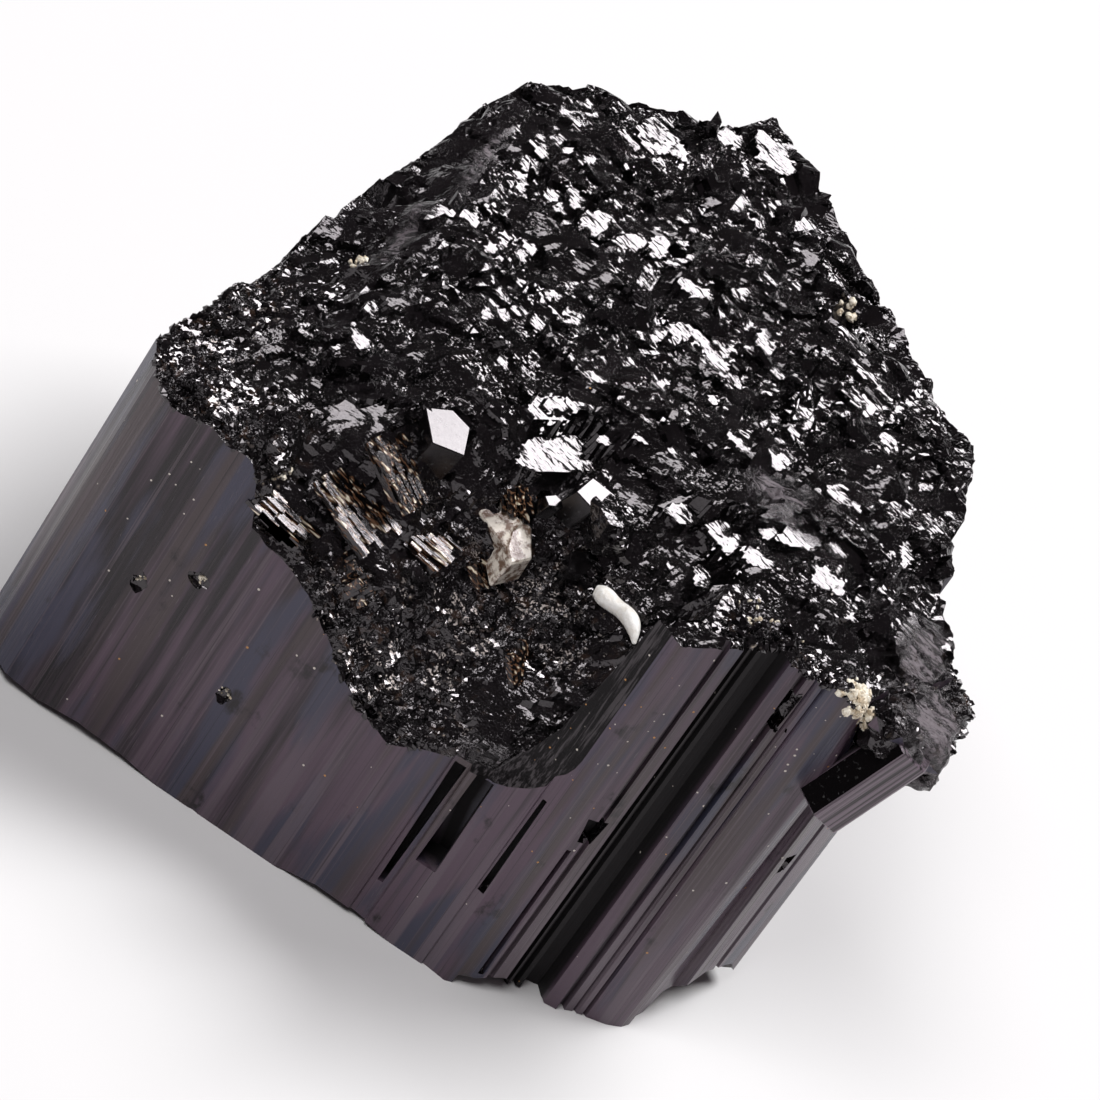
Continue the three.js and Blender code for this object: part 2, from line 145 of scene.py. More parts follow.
class FinishSettings(bpy.types.PropertyGroup):
    """The colours and the polish of the crystal."""

    black: colour_setting("Black", "Colour of the glassy fracture", (0.0022, 0.0019, 0.0021))
    prism_black: colour_setting(
        "Prism black", "Darkest colour of the prism faces", (0.008, 0.007, 0.008))
    violet: colour_setting(
        "Violet", "Violet-brown streaks of the prism faces", (0.090, 0.060, 0.083))
    blue: colour_setting("Blue", "Blue-grey streaks of the prism faces", (0.042, 0.043, 0.070))
    brown: colour_setting("Brown", "Brown streaks of the prism faces", (0.056, 0.042, 0.044))
    cream: colour_setting("Cream", "Colour of the palest needles", (0.78, 0.70, 0.55))
    dull: colour_setting("Dull grey", "Colour of the dull, matte places", (0.19, 0.165, 0.18))
    glassy: FloatProperty(
        name="Fracture roughness", description="Roughness of the glassy fracture",
        default=0.09, min=0, max=1, subtype="FACTOR")
    satin: FloatProperty(
        name="Prism roughness", description="Roughness of the striated prism faces",
        default=0.27, min=0, max=1, subtype="FACTOR")


class StageSettings(bpy.types.PropertyGroup):
    """Floor, lights and camera."""

    elevation: FloatProperty(
        name="Camera elevation", description="Angle of the camera above the horizon",
        default=math.radians(36.0), subtype="ANGLE", unit="ROTATION")
    roll: FloatProperty(
        name="Camera roll", description="How far the camera is turned about its own axis",
        default=math.radians(34.5), subtype="ANGLE", unit="ROTATION")
    distance: length_setting(
        "Camera distance", "From the camera to the point that it looks at", 365.0 * MM)
    look_at: FloatVectorProperty(
        name="Look at", description="The point in the middle of the picture",
        subtype="TRANSLATION", unit="LENGTH", default=(-0.47 * MM, -10.16 * MM, 19.05 * MM))
    key_strength: FloatProperty(
        name="Window light", description="Radiance of the light behind the crystal",
        default=18.0, min=0)
    fill_strength: FloatProperty(
        name="Fill light", description="Radiance of the broad light in front of the crystal",
        default=8.2, min=0)
    sky: FloatVectorProperty(
        name="Room light", description="Colour of the dim light from all around",
        subtype="COLOR", default=(0.085, 0.072, 0.079), min=0, max=1)


# ---------- helpers for objects ----------

def new_object(name, data):
    made = bpy.data.objects.new(name, data)
    bpy.context.scene.collection.objects.link(made)
    return made


def select_only(obj):
    bpy.ops.object.select_all(action="DESELECT")
    obj.select_set(True)
    bpy.context.view_layer.objects.active = obj


def apply_modifier(obj, modifier):
    select_only(obj)
    bpy.ops.object.modifier_apply(modifier=modifier.name)


def apply_place(obj):
    select_only(obj)
    bpy.ops.object.transform_apply(location=True, rotation=True, scale=True)


def edit_selected(obj, flags, *steps):
    """Runs edit-mode steps on the flagged faces."""
    mesh = obj.data
    select_only(obj)
    bpy.ops.object.mode_set(mode="EDIT")
    bpy.ops.mesh.select_mode(type="FACE")
    bpy.ops.object.mode_set(mode="OBJECT")
    for items in (mesh.vertices, mesh.edges):
        items.foreach_set("select", np.zeros(len(items), bool))
    mesh.polygons.foreach_set("select", np.asarray(flags, bool))
    bpy.ops.object.mode_set(mode="EDIT")
    for step in steps:
        step()
    bpy.ops.object.mode_set(mode="OBJECT")


def finish_piece(obj, *materials, replaced=()):
    """Paints a piece, keeps it within the solid's box, and ties it to the crystal's body."""
    for material in materials:
        obj.data.materials.append(material)
    low, high = (np.array(corner) for corner in SOLID_BOX)
    move_vertices(obj.data, np.clip(vertex_array(obj.data), low + BOX_MARGIN, high - BOX_MARGIN))
    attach(obj, BODY)
    if replaced:
        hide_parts(*replaced)


def read(items, name, width=1, kind=float):
    """One value, or one row of values, for each item of a mesh."""
    values = np.zeros(len(items) * width, kind)
    items.foreach_get(name, values)
    return values.reshape(-1, width) if width > 1 else values


def vertex_array(mesh):
    return read(mesh.vertices, "co", 3)


def face_arrays(mesh):
    return read(mesh.polygons, "center", 3), read(mesh.polygons, "normal", 3)


def face_kinds(mesh):
    return read(mesh.polygons, "material_index", kind=int)


def move_vertices(mesh, places):
    mesh.vertices.foreach_set("co", places.ravel())
    mesh.update()


# ---------- helpers for node trees ----------

class Wire:
    """A value that comes out of a node. Adding or multiplying it adds the node that does so."""

    def __init__(self, socket):
        self.socket = socket
        self.tree = socket.id_data

    def __add__(self, other):
        return work("ADD", self, other)

    def __sub__(self, other):
        return work("SUBTRACT", self, other)

    def __rsub__(self, other):
        return work("SUBTRACT", other, self)

    def __mul__(self, other):
        return work("MULTIPLY", self, other)

    def __truediv__(self, other):
        return work("DIVIDE", self, other)

    def part(self, axis):
        return Wire(add_node(self.tree, "ShaderNodeSeparateXYZ", Vector=self).outputs[axis])


def add_node(tree, kind, settings=None, **inputs):
    """A node with its settings, and with each named input set or linked."""
    made = tree.nodes.new(kind)
    for name, value in (settings or {}).items():
        setattr(made, name, value)
    set_inputs(made, **inputs)
    return made


def set_inputs(node, **inputs):
    """Sets or links the named inputs, which have _ for a space in their names."""
    for name, value in inputs.items():
        set_input(node.inputs[name.replace("_", " ")], value)


def set_input(socket, value):
    if isinstance(value, Wire):
        value.tree.links.new(value.socket, socket)
    else:
        socket.default_value = value


def is_vector(value):
    return value.socket.type != "VALUE" if isinstance(value, Wire) else hasattr(value, "__len__")


def work(operation, *values):
    """A sum or the like of wires, numbers and rows of three numbers."""
    tree = next(value.tree for value in values if isinstance(value, Wire))
    vectors = any(is_vector(value) for value in values)
    made = add_node(tree, "ShaderNodeVectorMath" if vectors else "ShaderNodeMath",
                    {"operation": operation})
    for socket, value in zip(made.inputs, values):
        single = vectors and isinstance(value, (int, float))
        set_input(socket, (value,) * 3 if single else value)
    return Wire(made.outputs["Value" if operation == "DOT_PRODUCT" else 0])


def greatest(first, *others):
    for other in others:
        first = work("MAXIMUM", first, other)
    return first


def ramp(value, low, high):
    """0 below low, 1 above high, and smooth between them."""
    return Wire(add_node(value.tree, "ShaderNodeMapRange", {"interpolation_type": "SMOOTHSTEP"},
                         Value=value, From_Min=low, From_Max=high).outputs["Result"])


def spread(value, low, high):
    """A value from 0 to 1 brought to the range low to high."""
    return Wire(add_node(value.tree, "ShaderNodeMapRange", Value=value, To_Min=low,
                         To_Max=high).outputs["Result"])


def mix(kind, factor, first, second):
    made = add_node(factor.tree, "ShaderNodeMix", {"data_type": kind}, Factor=factor)
    low, high, result = MIX_SOCKETS[kind]
    set_input(made.inputs[low], first)
    set_input(made.inputs[high], second)
    return Wire(made.outputs[result])


def layered(colour, *over):
    """A colour with others over it. Each of those is (mask, colour)."""
    for mask, top in over:
        colour = mix("RGBA", mask, *(tone if isinstance(tone, Wire) else (*tone, 1.0)
                                     for tone in (colour, top)))
    return colour


def texture(kind, place, size, stretch=(1, 1, 1), **inputs):
    """A texture whose features measure size, longer by stretch along each axis."""
    at = place * [1.0 / (size * s) for s in stretch]
    return add_node(place.tree, kind, Vector=at, Scale=1.0, **inputs)


def noise(place, size, stretch=(1, 1, 1), detail=2.0, rough=0.5):
    return Wire(texture("ShaderNodeTexNoise", place, size, stretch, Detail=detail,
                        Roughness=rough).outputs[0])


def cells(place, size, stretch=(1, 1, 1)):
    """For the cell that a place is in: a colour of its own, its middle, and how far that is."""
    found = texture("ShaderNodeTexVoronoi", place, size, stretch).outputs
    return Wire(found["Color"]), Wire(found["Position"]), Wire(found["Distance"])


def group_tree(name, kind, inputs, outputs):
    """An empty node group. The inputs and outputs are names with their kinds of socket."""
    tree = bpy.data.node_groups.new(name, kind)
    for side, sockets in (("INPUT", inputs), ("OUTPUT", outputs)):
        for label, socket in sockets.items():
            tree.interface.new_socket(label, in_out=side, socket_type="NodeSocket" + socket)
    start = tree.nodes.new("NodeGroupInput")
    given = {socket.name: Wire(socket) for socket in start.outputs}
    return given, tree.nodes.new("NodeGroupOutput")


def splinters(place, bent, size, stretch, tilt, step, aim=None, aimed=None):
    """Flat splinters, each with its own height and its own slope up to tilt. Where aimed is 1
    the slope is aim instead. The cells are found at the bent place, and stay flat. Returns the
    height, and the cell's own random colour and middle."""
    colour, middle, _ = cells(bent, size, stretch)
    middle = middle * [size * s for s in stretch]
    lean = colour - (0.5, 0.5, 0.5)
    slope = lean * (2 * tilt)
    if aim is not None:
        picked = aimed * work("GREATER_THAN", colour.part(0), 0.3)
        slope = slope + (aim - slope) * picked
    level = work("DOT_PRODUCT", lean, (0.0, 1.0, 0.0))
    return work("DOT_PRODUCT", place - middle, slope) + level * step, colour, middle


# ---------- the body: its mesh ----------

def merged_copy(name):
    """The solid's own mesh as a new piece, with its loose triangles joined up."""
    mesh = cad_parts[NODE].data.copy()
    mesh.materials.clear()
    piece = new_object(name, mesh)
    edit_selected(piece, np.ones(len(mesh.polygons), bool),
                  lambda: bpy.ops.mesh.remove_doubles(threshold=WELD))
    if "custom_normal" in mesh.attributes:
        mesh.attributes.remove(mesh.attributes["custom_normal"])
    return piece


def along_side_crystal(places, nearest_tip=0.0):
    """For each place, the nearest one on the axis of the side crystal."""
    start = np.array(SIDE_TIP) * MM
    along = np.array(SIDE_ROOT) * MM - start
    share = np.clip((places - start) @ along / (along @ along), nearest_tip, 1)
    return start + share[:, None] * along


def distance_to_side_crystal(places):
    return np.linalg.norm(places - along_side_crystal(places), axis=1)


def sink_side_crystal(mesh):
    """Narrows the solid's own side crystal, so that it is hidden in the finer one."""
    places = vertex_array(mesh)
    near = distance_to_side_crystal(places) < SIDE_RADIUS * SUNK_REACH * MM
    axis = along_side_crystal(places[near], nearest_tip=SUNK_TIP)
    places[near] = axis + (places[near] - axis) * SUNK_RADIUS
    move_vertices(mesh, places)


def sort_faces(mesh):
    """Which kind each face is: prism, fracture, shell or base."""
    centres, normals = face_arrays(mesh)
    kinds = np.full(len(centres), FRACTURE)
    kinds[np.abs(normals[:, 2]) < UPRIGHT] = PRISM
    kinds[(normals[:, 2] < LOOKS_DOWN) & (centres[:, 2] < BASE_TOP)] = BASE
    outward, from_shell = out_of_shell(centres)
    on_shell = np.abs(from_shell - SHELL_RADIUS * MM) < ON_SHELL
    on_shell &= np.einsum("ij,ij->i", outward, normals) < INTO_SHELL
    kinds[on_shell] = SHELL
    in_groove = (groove_depth(centres) > IN_GROOVE) & (centres[:, 2] < GROOVE_TOP)
    kinds[in_groove & (kinds != BASE)] = PRISM
    return kinds


def out_of_shell(places):
    """The way from the middle of the shell-shaped break to each place, and how far it is."""
    middle = np.tile(np.array(SHELL_CENTRE) * MM, (len(places), 1))
    middle[:, 2] = np.maximum(middle[:, 2], places[:, 2])
    away = np.linalg.norm(places - middle, axis=1)
    return (places - middle) / away[:, None], away


def cut_ribs(piece, pitch, seed):
    """Divides the prism faces by upright cuts, unevenly spaced, and by a few level ones."""
    uneven = random.Random(seed)
    low, high = (np.array(corner) for corner in SOLID_BOX)
    cuts = []
    for axis in (0, 1):
        place = low[axis] + pitch
        while place < high[axis]:
            cuts.append((axis, place))
            place += pitch * uneven.uniform(0.5, 1.5)
    cuts += [(2, LEVEL_STEP * n + uneven.uniform(-1, 1) * MM) for n in LEVEL_CUTS]

    def cut_all():
        for axis, place in cuts:
            bpy.ops.mesh.select_all(action="DESELECT")
            bpy.ops.object.material_slot_select()
            normal = np.eye(3)[axis]
            bpy.ops.mesh.bisect(plane_co=normal * place, plane_no=normal)

    piece.active_material_index = PRISM
    edit_selected(piece, np.zeros(len(piece.data.polygons), bool), cut_all)


def mark_vertices(mesh):
    """Writes how each vertex may move: with the fracture, with a prism face, or inwards."""
    corners = read(mesh.loops, "vertex_index", kind=int)
    corner_kinds = np.repeat(face_kinds(mesh), read(mesh.polygons, "loop_total", kind=int))
    touches = np.zeros((4, len(mesh.vertices)), bool)
    for kind in range(4):
        touches[kind, corners[corner_kinds == kind]] = True
    start, end = read(mesh.edges, "vertices", 2, int).T
    rings = np.where(touches[PRISM] | touches[SHELL] | touches[BASE], 0.0, FAR_RINGS)
    for _ in range(INLAND_RINGS):
        reached = rings.copy()
        np.minimum.at(reached, start, rings[end] + 1)
        np.minimum.at(reached, end, rings[start] + 1)
        rings = reached
    free = touches[FRACTURE] & ~touches[SHELL] & ~touches[BASE]
    places = vertex_array(mesh)
    beside = distance_to_side_crystal(places) / (SIDE_RADIUS * MM)
    behind = out_of_shell(places)[1] / MM - SHELL_RADIUS
    lip = 0.8 * np.clip(1.5 - behind / 0.3, 0, 1) * (behind > 0) * (places[:, 2] < LIP_TOP)
    flake, lift = lay_flakes(places, free & (rings > 1))
    marks = {
        "broken": free * np.clip((beside - 1.05) / 0.5, 0, 1),
        "ribbed": touches[PRISM] & ~touches[SHELL] & ~touches[BASE],
        "inland": np.clip(rings / INLAND_RINGS, 0, 1),
        "base_break": touches[BASE] & ~touches[PRISM] & (places[:, 2] > 0.05 * MM),
        "groove": groove_depth(places),
        "grit": amount(places, GRITTY),
        "dull": np.maximum(amount(places, DULL), lip),
        "bright": amount(places, BRIGHT),
        "calm": amount(places, CALM),
        "flake": flake,
        "lift": lift,
    }
    for name, values in marks.items():
        layer = mesh.attributes.new(name, "FLOAT", "POINT")
        layer.data.foreach_set("value", np.asarray(values, np.float32))


def lay_flakes(places, free):
    """Which vertices lie in a flake, and how far they are from its flat top."""
    uneven = np.random.default_rng(6)
    jitter = uneven.normal(0, FLAKE_EDGE, (len(places), 2))
    flake, lift = np.zeros(len(places)), np.zeros(len(places))
    facing = np.array(GLINT_FACING)
    turns = np.arange(FLAKE_CORNERS) / FLAKE_CORNERS * math.tau
    for middle, long, wide in np.reshape(FLAKES, (-1, 3, 2)):
        own = facing + uneven.uniform(-FLAKE_LEAN, FLAKE_LEAN, 3)
        own /= np.linalg.norm(own)
        reach = uneven.uniform(*FLAKE_REACH, FLAKE_CORNERS)
        outline = middle + np.outer(reach * np.cos(turns), long)
        outline += np.outer(reach * np.sin(turns), wide)
        inside = free & within(places[:, :2] + jitter, outline * MM)
        inside &= places[:, 2] > FLAKE_FLOOR
        if not inside.any():
            continue
        reach = places[inside] @ own
        rise = (np.quantile(reach, FLAKE_LEVEL) - reach) / own[2]
        near = np.abs(rise) < FLAKE_RISE
        inside[inside] = near
        flake[inside] = 1
        lift[inside] = rise[near]
    return flake, lift


def within(points, outline):
    """Whether each point is inside the outline."""
    found = np.zeros(len(points), bool)
    for start, end in zip(outline, np.roll(outline, -1, axis=0)):
        above = (start[1] > points[:, 1]) != (end[1] > points[:, 1])
        slope = (end[0] - start[0]) / (end[1] - start[1] + 1e-12)
        found ^= above & (points[:, 0] < start[0] + slope * (points[:, 1] - start[1]))
    return found


def groove_depth(places):
    """1 deep in the slots and grooves of the two front faces, and 0 on the faces."""
    depth = np.zeros(len(places))
    for start, end, shallow, deep in FRONT_FACES:
        start, end = np.array(start + DRAWING) * MM, np.array(end + DRAWING) * MM
        along = (end - start)[:2] / np.linalg.norm((end - start)[:2])
        offset = places[:, :2] - start[:2]
        inward = offset @ np.array([-along[1], along[0]])
        share = offset @ along / np.linalg.norm((end - start)[:2])
        beside = (share > 0.02) & (share < 0.97) & (inward < 2.4 * MM)
        depth = np.maximum(depth, beside * np.clip(
            (inward / MM - shallow) / (deep - shallow), 0, 1))
    return depth


def amount(places, patches):
    """How far each place is within the patches of one kind, from 0 to 1."""
    return np.max([patch(places, *where) for where in patches], axis=0)


def patch(places, centre, radius):
    """1 at a place given in mm of the drawing, falling to 0 at radius mm from it."""
    middle = (Vector(centre) + DRAWING) * MM
    away = np.linalg.norm((places - np.array(middle)) / np.array(radius) / MM, axis=1)
    return np.clip(1.6 * (1 - away), 0, 1)


FRONT_FACES = [  # (from, to, depth where a groove's painted shade starts, depth where that painted shade is black)
    (Vector((-15.0, 0.2, 0)), Vector((14.9, 0.6, 0)), 0.45, 0.75),
    (Vector((14.9, 0.6, 0)), Vector((25.3, 6.4, 0)), 0.30, 0.75),
]
GRITTY = [  # where the fracture is a crust of fine grains: (centre, radius), mm
    ((-13.5, 1.5, 22.0), (8.0, 5.0, 6.0)), ((-15.5, 8.0, 22.0), (4.0, 9.0, 6.0)),
    ((1.0, 2.0, 14.5), (9.0, 5.5, 7.0)), ((6.0, 7.0, 18.5), (9.0, 5.5, 8.0)),
    ((20.0, 4.5, 27.5), (9.0, 3.2, 3.5)), ((28.5, 13.0, 24.0), (5.0, 8.0, 6.0)),
]
BRIGHT = [  # where the flakes of the fracture lie parallel and glint together
    ((-2.2, 38.0, 29.0), (3.6, 3.4, 4.0)), ((3.4, 43.0, 29.0), (3.4, 3.6, 4.0)),
    ((-1.6, 28.6, 28.5), (4.6, 4.0, 4.0)), ((-6.0, 29.0, 28.5), (3.4, 4.0, 4.0)),
    ((-7.3, 21.6, 28.0), (3.6, 3.0, 4.0)), ((-2.0, 19.6, 28.3), (5.0, 2.6, 4.0)),
    ((7.3, 23.9, 28.5), (5.2, 3.2, 4.0)), ((14.0, 25.0, 28.5), (4.2, 3.4, 4.0)),
    ((19.0, 31.0, 28.3), (4.0, 5.0, 4.0)), ((13.0, 36.0, 28.5), (3.2, 4.0, 4.0)),
    ((3.0, 11.8, 28.0), (5.0, 2.4, 3.0)), ((13.2, 10.3, 28.5), (4.0, 2.6, 4.0)),
    ((21.0, 13.9, 28.0), (3.6, 3.0, 4.0)), ((9.3, 8.5, 28.0), (3.0, 2.4, 4.0)),
    ((-11.9, 12.7, 26.0), (4.0, 3.4, 4.0)), ((-5.6, 14.4, 28.0), (3.6, 2.0, 4.0)),
]
CALM = [  # smooth black bands between them
    ((1.0, 26.0, 28.5), (5.5, 2.2, 5.0)), ((6.5, 17.6, 28.3), (4.5, 2.2, 5.0)),
    ((17.5, 25.5, 28.0), (2.2, 4.5, 5.0)), ((1.0, 38.0, 29.0), (1.0, 5.0, 5.0)),
    ((-8.0, 24.9, 28.5), (2.6, 1.6, 5.0)), ((-4.2, 14.8, 28.0), (3.6, 1.5, 5.0)),
    ((-13.0, 28.5, 25.0), (3.0, 12.0, 6.0)), ((-1.3, 20.9, 28.5), (2.4, 1.2, 5.0)),
    ((14.0, 18.6, 28.0), (5.0, 2.0, 5.0)),
]
DULL = [  # matte, fibrous or earthy places
    ((15.2, 16.9, 28.0), (5.2, 2.4, 3.0)), ((28.8, 10.5, 25.5), (4.0, 5.0, 5.0)),
    ((26.5, 14.0, 27.0), (2.4, 5.0, 3.0)), ((21.5, 3.6, 27.6), (5.0, 1.2, 1.6)),
    ((-10.3, 19.0, 27.0), (0.9, 5.5, 4.0)), ((-9.6, 28.0, 28.0), (0.9, 6.0, 4.0)),
]

FLAKE_RISE = 1.1 * MM  # a vertex that is further than this from a flake's plane stays out of it
FLAKE_FLOOR = 20 * MM  # and so does one that is lower than this
FLAKE_CORNERS = 9
FLAKE_REACH = (0.75, 1.2)  # how far out its corners are, against its half length and width
FLAKE_LEAN = 0.03  # how far its facing strays
FLAKE_EDGE = 0.06 * MM  # how ragged its outline is
FLAKE_LEVEL = 0.6  # its plane is higher than this share of what it covers
FLAKES = [  # large flakes, seen from above: x and y of the middle, half length and half width, mm
    (-3.1, -13.2, 2.2, 2.5, -1.0, 0.8), (-4.6, -12.4, 1.1, 1.4, -0.7, 0.5),
    (-8.8, 14.8, 1.8, 0.4, 0.0, -1.4), (-5.5, 20.3, 1.1, 0.1, -0.1, -1.2),
    (-2.7, 20.9, 1.7, -0.2, -0.2, -1.2), (-8.9, 4.5, 0.6, -0.6, -0.6, -1.0),
    (-6.7, 4.2, 1.0, 0.7, 0.2, -0.6), (-5.2, 5.7, 0.7, 0.3, 0.1, -0.9),
    (-3.6, 6.6, 0.6, 1.0, 0.3, -0.3), (-4.1, 6.8, 0.4, 0.4, 0.2, -0.3),
    (-1.4, 13.7, 0.8, -0.2, -0.2, -0.7), (1.0, 15.4, 0.5, 1.0, 0.5, -0.4),
    (-2.2, 4.2, 1.0, 0.4, 0.0, -0.6), (0.1, 3.3, 0.5, -0.3, -0.2, -0.4),
    (1.0, 0.2, 3.1, 0.0, -0.2, -1.1), (2.9, 4.2, 0.9, -0.5, -0.3, -0.7),
    (-0.1, 3.2, 0.5, -0.2, -0.1, -0.4), (-1.9, -2.6, 0.9, 0.7, 0.1, -0.4),
    (5.0, -6.7, 1.3, 0.2, -0.0, -0.4), (7.1, -4.7, 0.8, 0.1, -0.1, -0.7),
    (7.3, -2.2, 1.3, -0.4, -0.1, -0.4), (0.1, -11.0, 0.6, 0.4, 0.1, -0.3),
    (4.4, -12.5, 1.0, 0.8, 0.3, -0.7), (6.8, -12.5, 1.1, 0.6, 0.2, -1.1),
    (10.6, -9.2, 1.3, 1.0, 0.2, -0.6), (8.9, -9.8, 0.5, 0.5, 0.3, -0.4),
    (9.1, -13.3, 1.1, 0.5, 0.1, -0.6), (12.8, -11.4, 0.9, 0.1, -0.1, -1.0),
    (7.3, -14.1, 0.9, -0.3, -0.3, -0.8), (16.1, -3.5, 0.3, -0.9, -0.5, -0.4),
    (11.9, 3.7, 0.8, 0.0, -0.1, -0.7), (-0.4, -4.0, 0.4, 0.2, 0.1, -0.3),
    (2.3, -3.6, 0.6, 0.1, -0.0, -0.4), (-13.5, 9.3, 0.6, 0.2, 0.0, -0.6),
    (-12.5, 8.0, 0.5, 0.4, 0.1, -0.4), (-13.8, 7.0, 0.9, -0.1, -0.1, -0.4),
    (-15.9, 7.6, 0.4, 0.9, 0.3, -0.2), (-15.9, 5.6, 0.5, 0.4, 0.2, -0.4),
    (-16.1, 2.0, 0.3, 0.4, 0.1, -0.2), (-13.8, 5.1, 1.0, 0.9, 0.1, -0.3),
    (-12.8, 4.9, 0.5, -0.3, -0.2, -0.4), (-11.8, 4.3, 0.6, 0.1, -0.0, -0.7),
    (-10.9, 4.0, 0.5, 0.3, 0.1, -0.5), (-10.2, 3.6, 0.4, 0.5, 0.2, -0.3),
    (-10.5, 4.6, 0.5, -0.2, -0.2, -0.5), (-13.4, 3.0, 0.5, 0.2, 0.0, -0.6),
    (-13.3, -0.1, 0.3, 0.3, 0.1, -0.2), (-14.7, -2.5, 0.8, -0.1, -0.2, -0.9),
    (-15.8, -3.8, 0.2, 0.9, 0.5, -0.1), (-12.5, -1.1, 0.6, 0.4, 0.1, -0.6),
    (-12.7, -4.0, 0.3, 0.5, 0.3, -0.3), (-14.8, -6.2, 0.3, 0.6, 0.2, -0.2),
    (-11.0, -0.9, 0.7, 0.2, 0.0, -0.5), (-11.9, -3.8, 0.8, 0.9, 0.1, -0.2),
    (-11.3, 10.4, 0.6, 0.2, 0.0, -0.4), (-13.3, 13.5, 0.5, 0.2, 0.0, -0.4),
    (-15.6, -14.6, 0.6, -0.2, -0.2, -0.6), (-15.9, -12.2, 0.6, 0.1, -0.0, -0.6),
    (-16.2, -15.3, 0.4, 0.4, 0.1, -0.3), (-4.6, -12.2, 0.7, 0.6, 0.2, -0.5),
    (-1.5, -11.4, 0.6, 0.3, 0.1, -0.4),
]


def relief_tree(settings):
    """Geometry nodes that move the fracture, the prism faces and the broken base."""
    given, end = group_tree("crystal_relief", "GeometryNodeTree", {"Geometry": "Geometry"},
                            {"Geometry": "Geometry"})
    tree = end.id_data

    def stored(name):
        return Wire(add_node(tree, "GeometryNodeInputNamedAttribute", {"data_type": "FLOAT"},
                             Name=name).outputs[0])

    def upright(length):
        return Wire(add_node(tree, "ShaderNodeCombineXYZ", Z=length).outputs[0])

    place = Wire(tree.nodes.new("GeometryNodeInputPosition").outputs[0])
    normal = Wire(tree.nodes.new("GeometryNodeInputNormal").outputs[0])
    size = settings.splinter
    grit, inland, flake, calm = (stored(name) for name in ("grit", "inland", "flake", "calm"))
    shift = Wire(texture("ShaderNodeTexNoise", place, 1.3 * MM, Detail=2.0).outputs["Color"])
    bent = place + (shift - (0.5, 0.5, 0.5)) * (1.6 * MM, 1.1 * MM, 1.2 * MM)

    # Flat splinters, of which many in the glassy patches face the way that glints.
    steepness = normal.part("Z")
    aim = (normal / greatest(steepness, 0.5) + GLINT_SLOPE) * (1, 1, 0)
    aim = greatest(work("MINIMUM", aim, (0.42, 0.42, 0)), (-0.42, -0.42, 0))
    level = ramp(steepness, 0.62, 0.8) * ramp(grit, 0.6, 0.2) * inland
    patches = noise(place, 2.6 * MM, (1.8, 0.8, 1)) + stored("bright") * 0.20 - calm * 0.3
    coarse, own, centre = splinters(place, bent, size, (2.3, 0.78, 1.2), 0.17, 0.28 * MM, aim,
                                    level * ramp(patches, 0.56, 0.60))
    middle, _, _ = splinters(place, bent, size * 0.42, (2.2, 0.8, 1.0), 0.20, 0.10 * MM)
    swell = noise(centre, 5.0 * MM, (1.6, 0.8, 1)) - 0.5

    # Waves and crust on them, stronger where they are ragged.
    ragged = greatest(ramp(own.part(2), 0.35, 0.95), grit)
    waves = noise(bent, 0.9 * MM, (2.4, 0.8, 1), 1.5, 0.45) - 0.5
    waves = waves * spread(ragged, 0.10 * MM, 0.40 * MM)
    lumps = noise(place, 0.8 * MM, detail=3.0, rough=0.55) - 0.5
    detail = middle * ragged + (waves + lumps * (grit * (0.9 * MM)))
    lively = greatest(greatest(ramp(patches, 0.44, 0.56), grit) - calm * 1.3, -0.3)
    height = coarse * spread(lively, 0.6, 1.0) + swell * (2.2 * MM)
    height = height + detail * spread(lively, 0.45, 1.1)
    height = height * stored("broken") * spread(inland, 0.25, 1.0) * (1.0 - flake)
    total = (normal * inland + upright(1.0 - inland)) * height

    ribs = noise(place, 0.55 * MM, (1, 1, 60), 3.0, 0.6) - 0.5
    ribs = ribs * (2 * settings.rib_height) * stored("ribbed")
    total = total + work("NORMALIZE", normal * (1, 1, 0)) * ribs

    base, _, _ = splinters(place, bent, size * 1.2, (1, 1, 1), 0.3, 0.35 * MM)
    total = total + upright(work("ABSOLUTE", base * stored("base_break")))
    total = total + upright((stored("lift") + waves * 0.8) * flake)

    kept = add_node(tree, "GeometryNodeStoreNamedAttribute",
                    {"data_type": "FLOAT", "domain": "POINT"}, Geometry=given["Geometry"],
                    Name="ragged", Value=ragged * (1.0 - flake))
    moved = add_node(tree, "GeometryNodeSetPosition", Geometry=Wire(kept.outputs[0]), Offset=total)
    set_inputs(end, Geometry=Wire(moved.outputs[0]))
    return tree


# ---------- the body: its materials ----------

def shader_material(name):
    """A new material, the node that its finish is set on, and the place on the surface."""
    material = bpy.data.materials.new(name)
    material.use_nodes = True
    tree = material.node_tree
    tree.nodes.clear()
    surface = add_node(tree, "ShaderNodeBsdfPrincipled", IOR=1.64,
                       Specular_Tint=(1.0, 0.93, 0.97, 1))
    out = tree.nodes.new("ShaderNodeOutputMaterial")
    tree.links.new(surface.outputs[0], out.inputs["Surface"])
    return material, surface, Wire(tree.nodes.new("ShaderNodeTexCoord").outputs["Object"])


def dust_group():
    """Specks of pale and orange dust, as a mask and a colour."""
    given, end = group_tree(
        "dust_specks", "ShaderNodeTree", {"Place": "Vector", "Share": "Float"},
        {"Mask": "Float", "Colour": "Color"})
    own, _, away = cells(given["Place"], 0.62 * MM)
    chosen = work("LESS_THAN", own.part(0), given["Share"])
    near = work("LESS_THAN", away, spread(own.part(1), 0.05, 0.13))
    orange = work("GREATER_THAN", own.part(2), 0.72)
    set_inputs(end, Mask=chosen * near,
               Colour=layered((0.62, 0.57, 0.52), (orange, (0.50, 0.26, 0.10))))
    return end.id_data


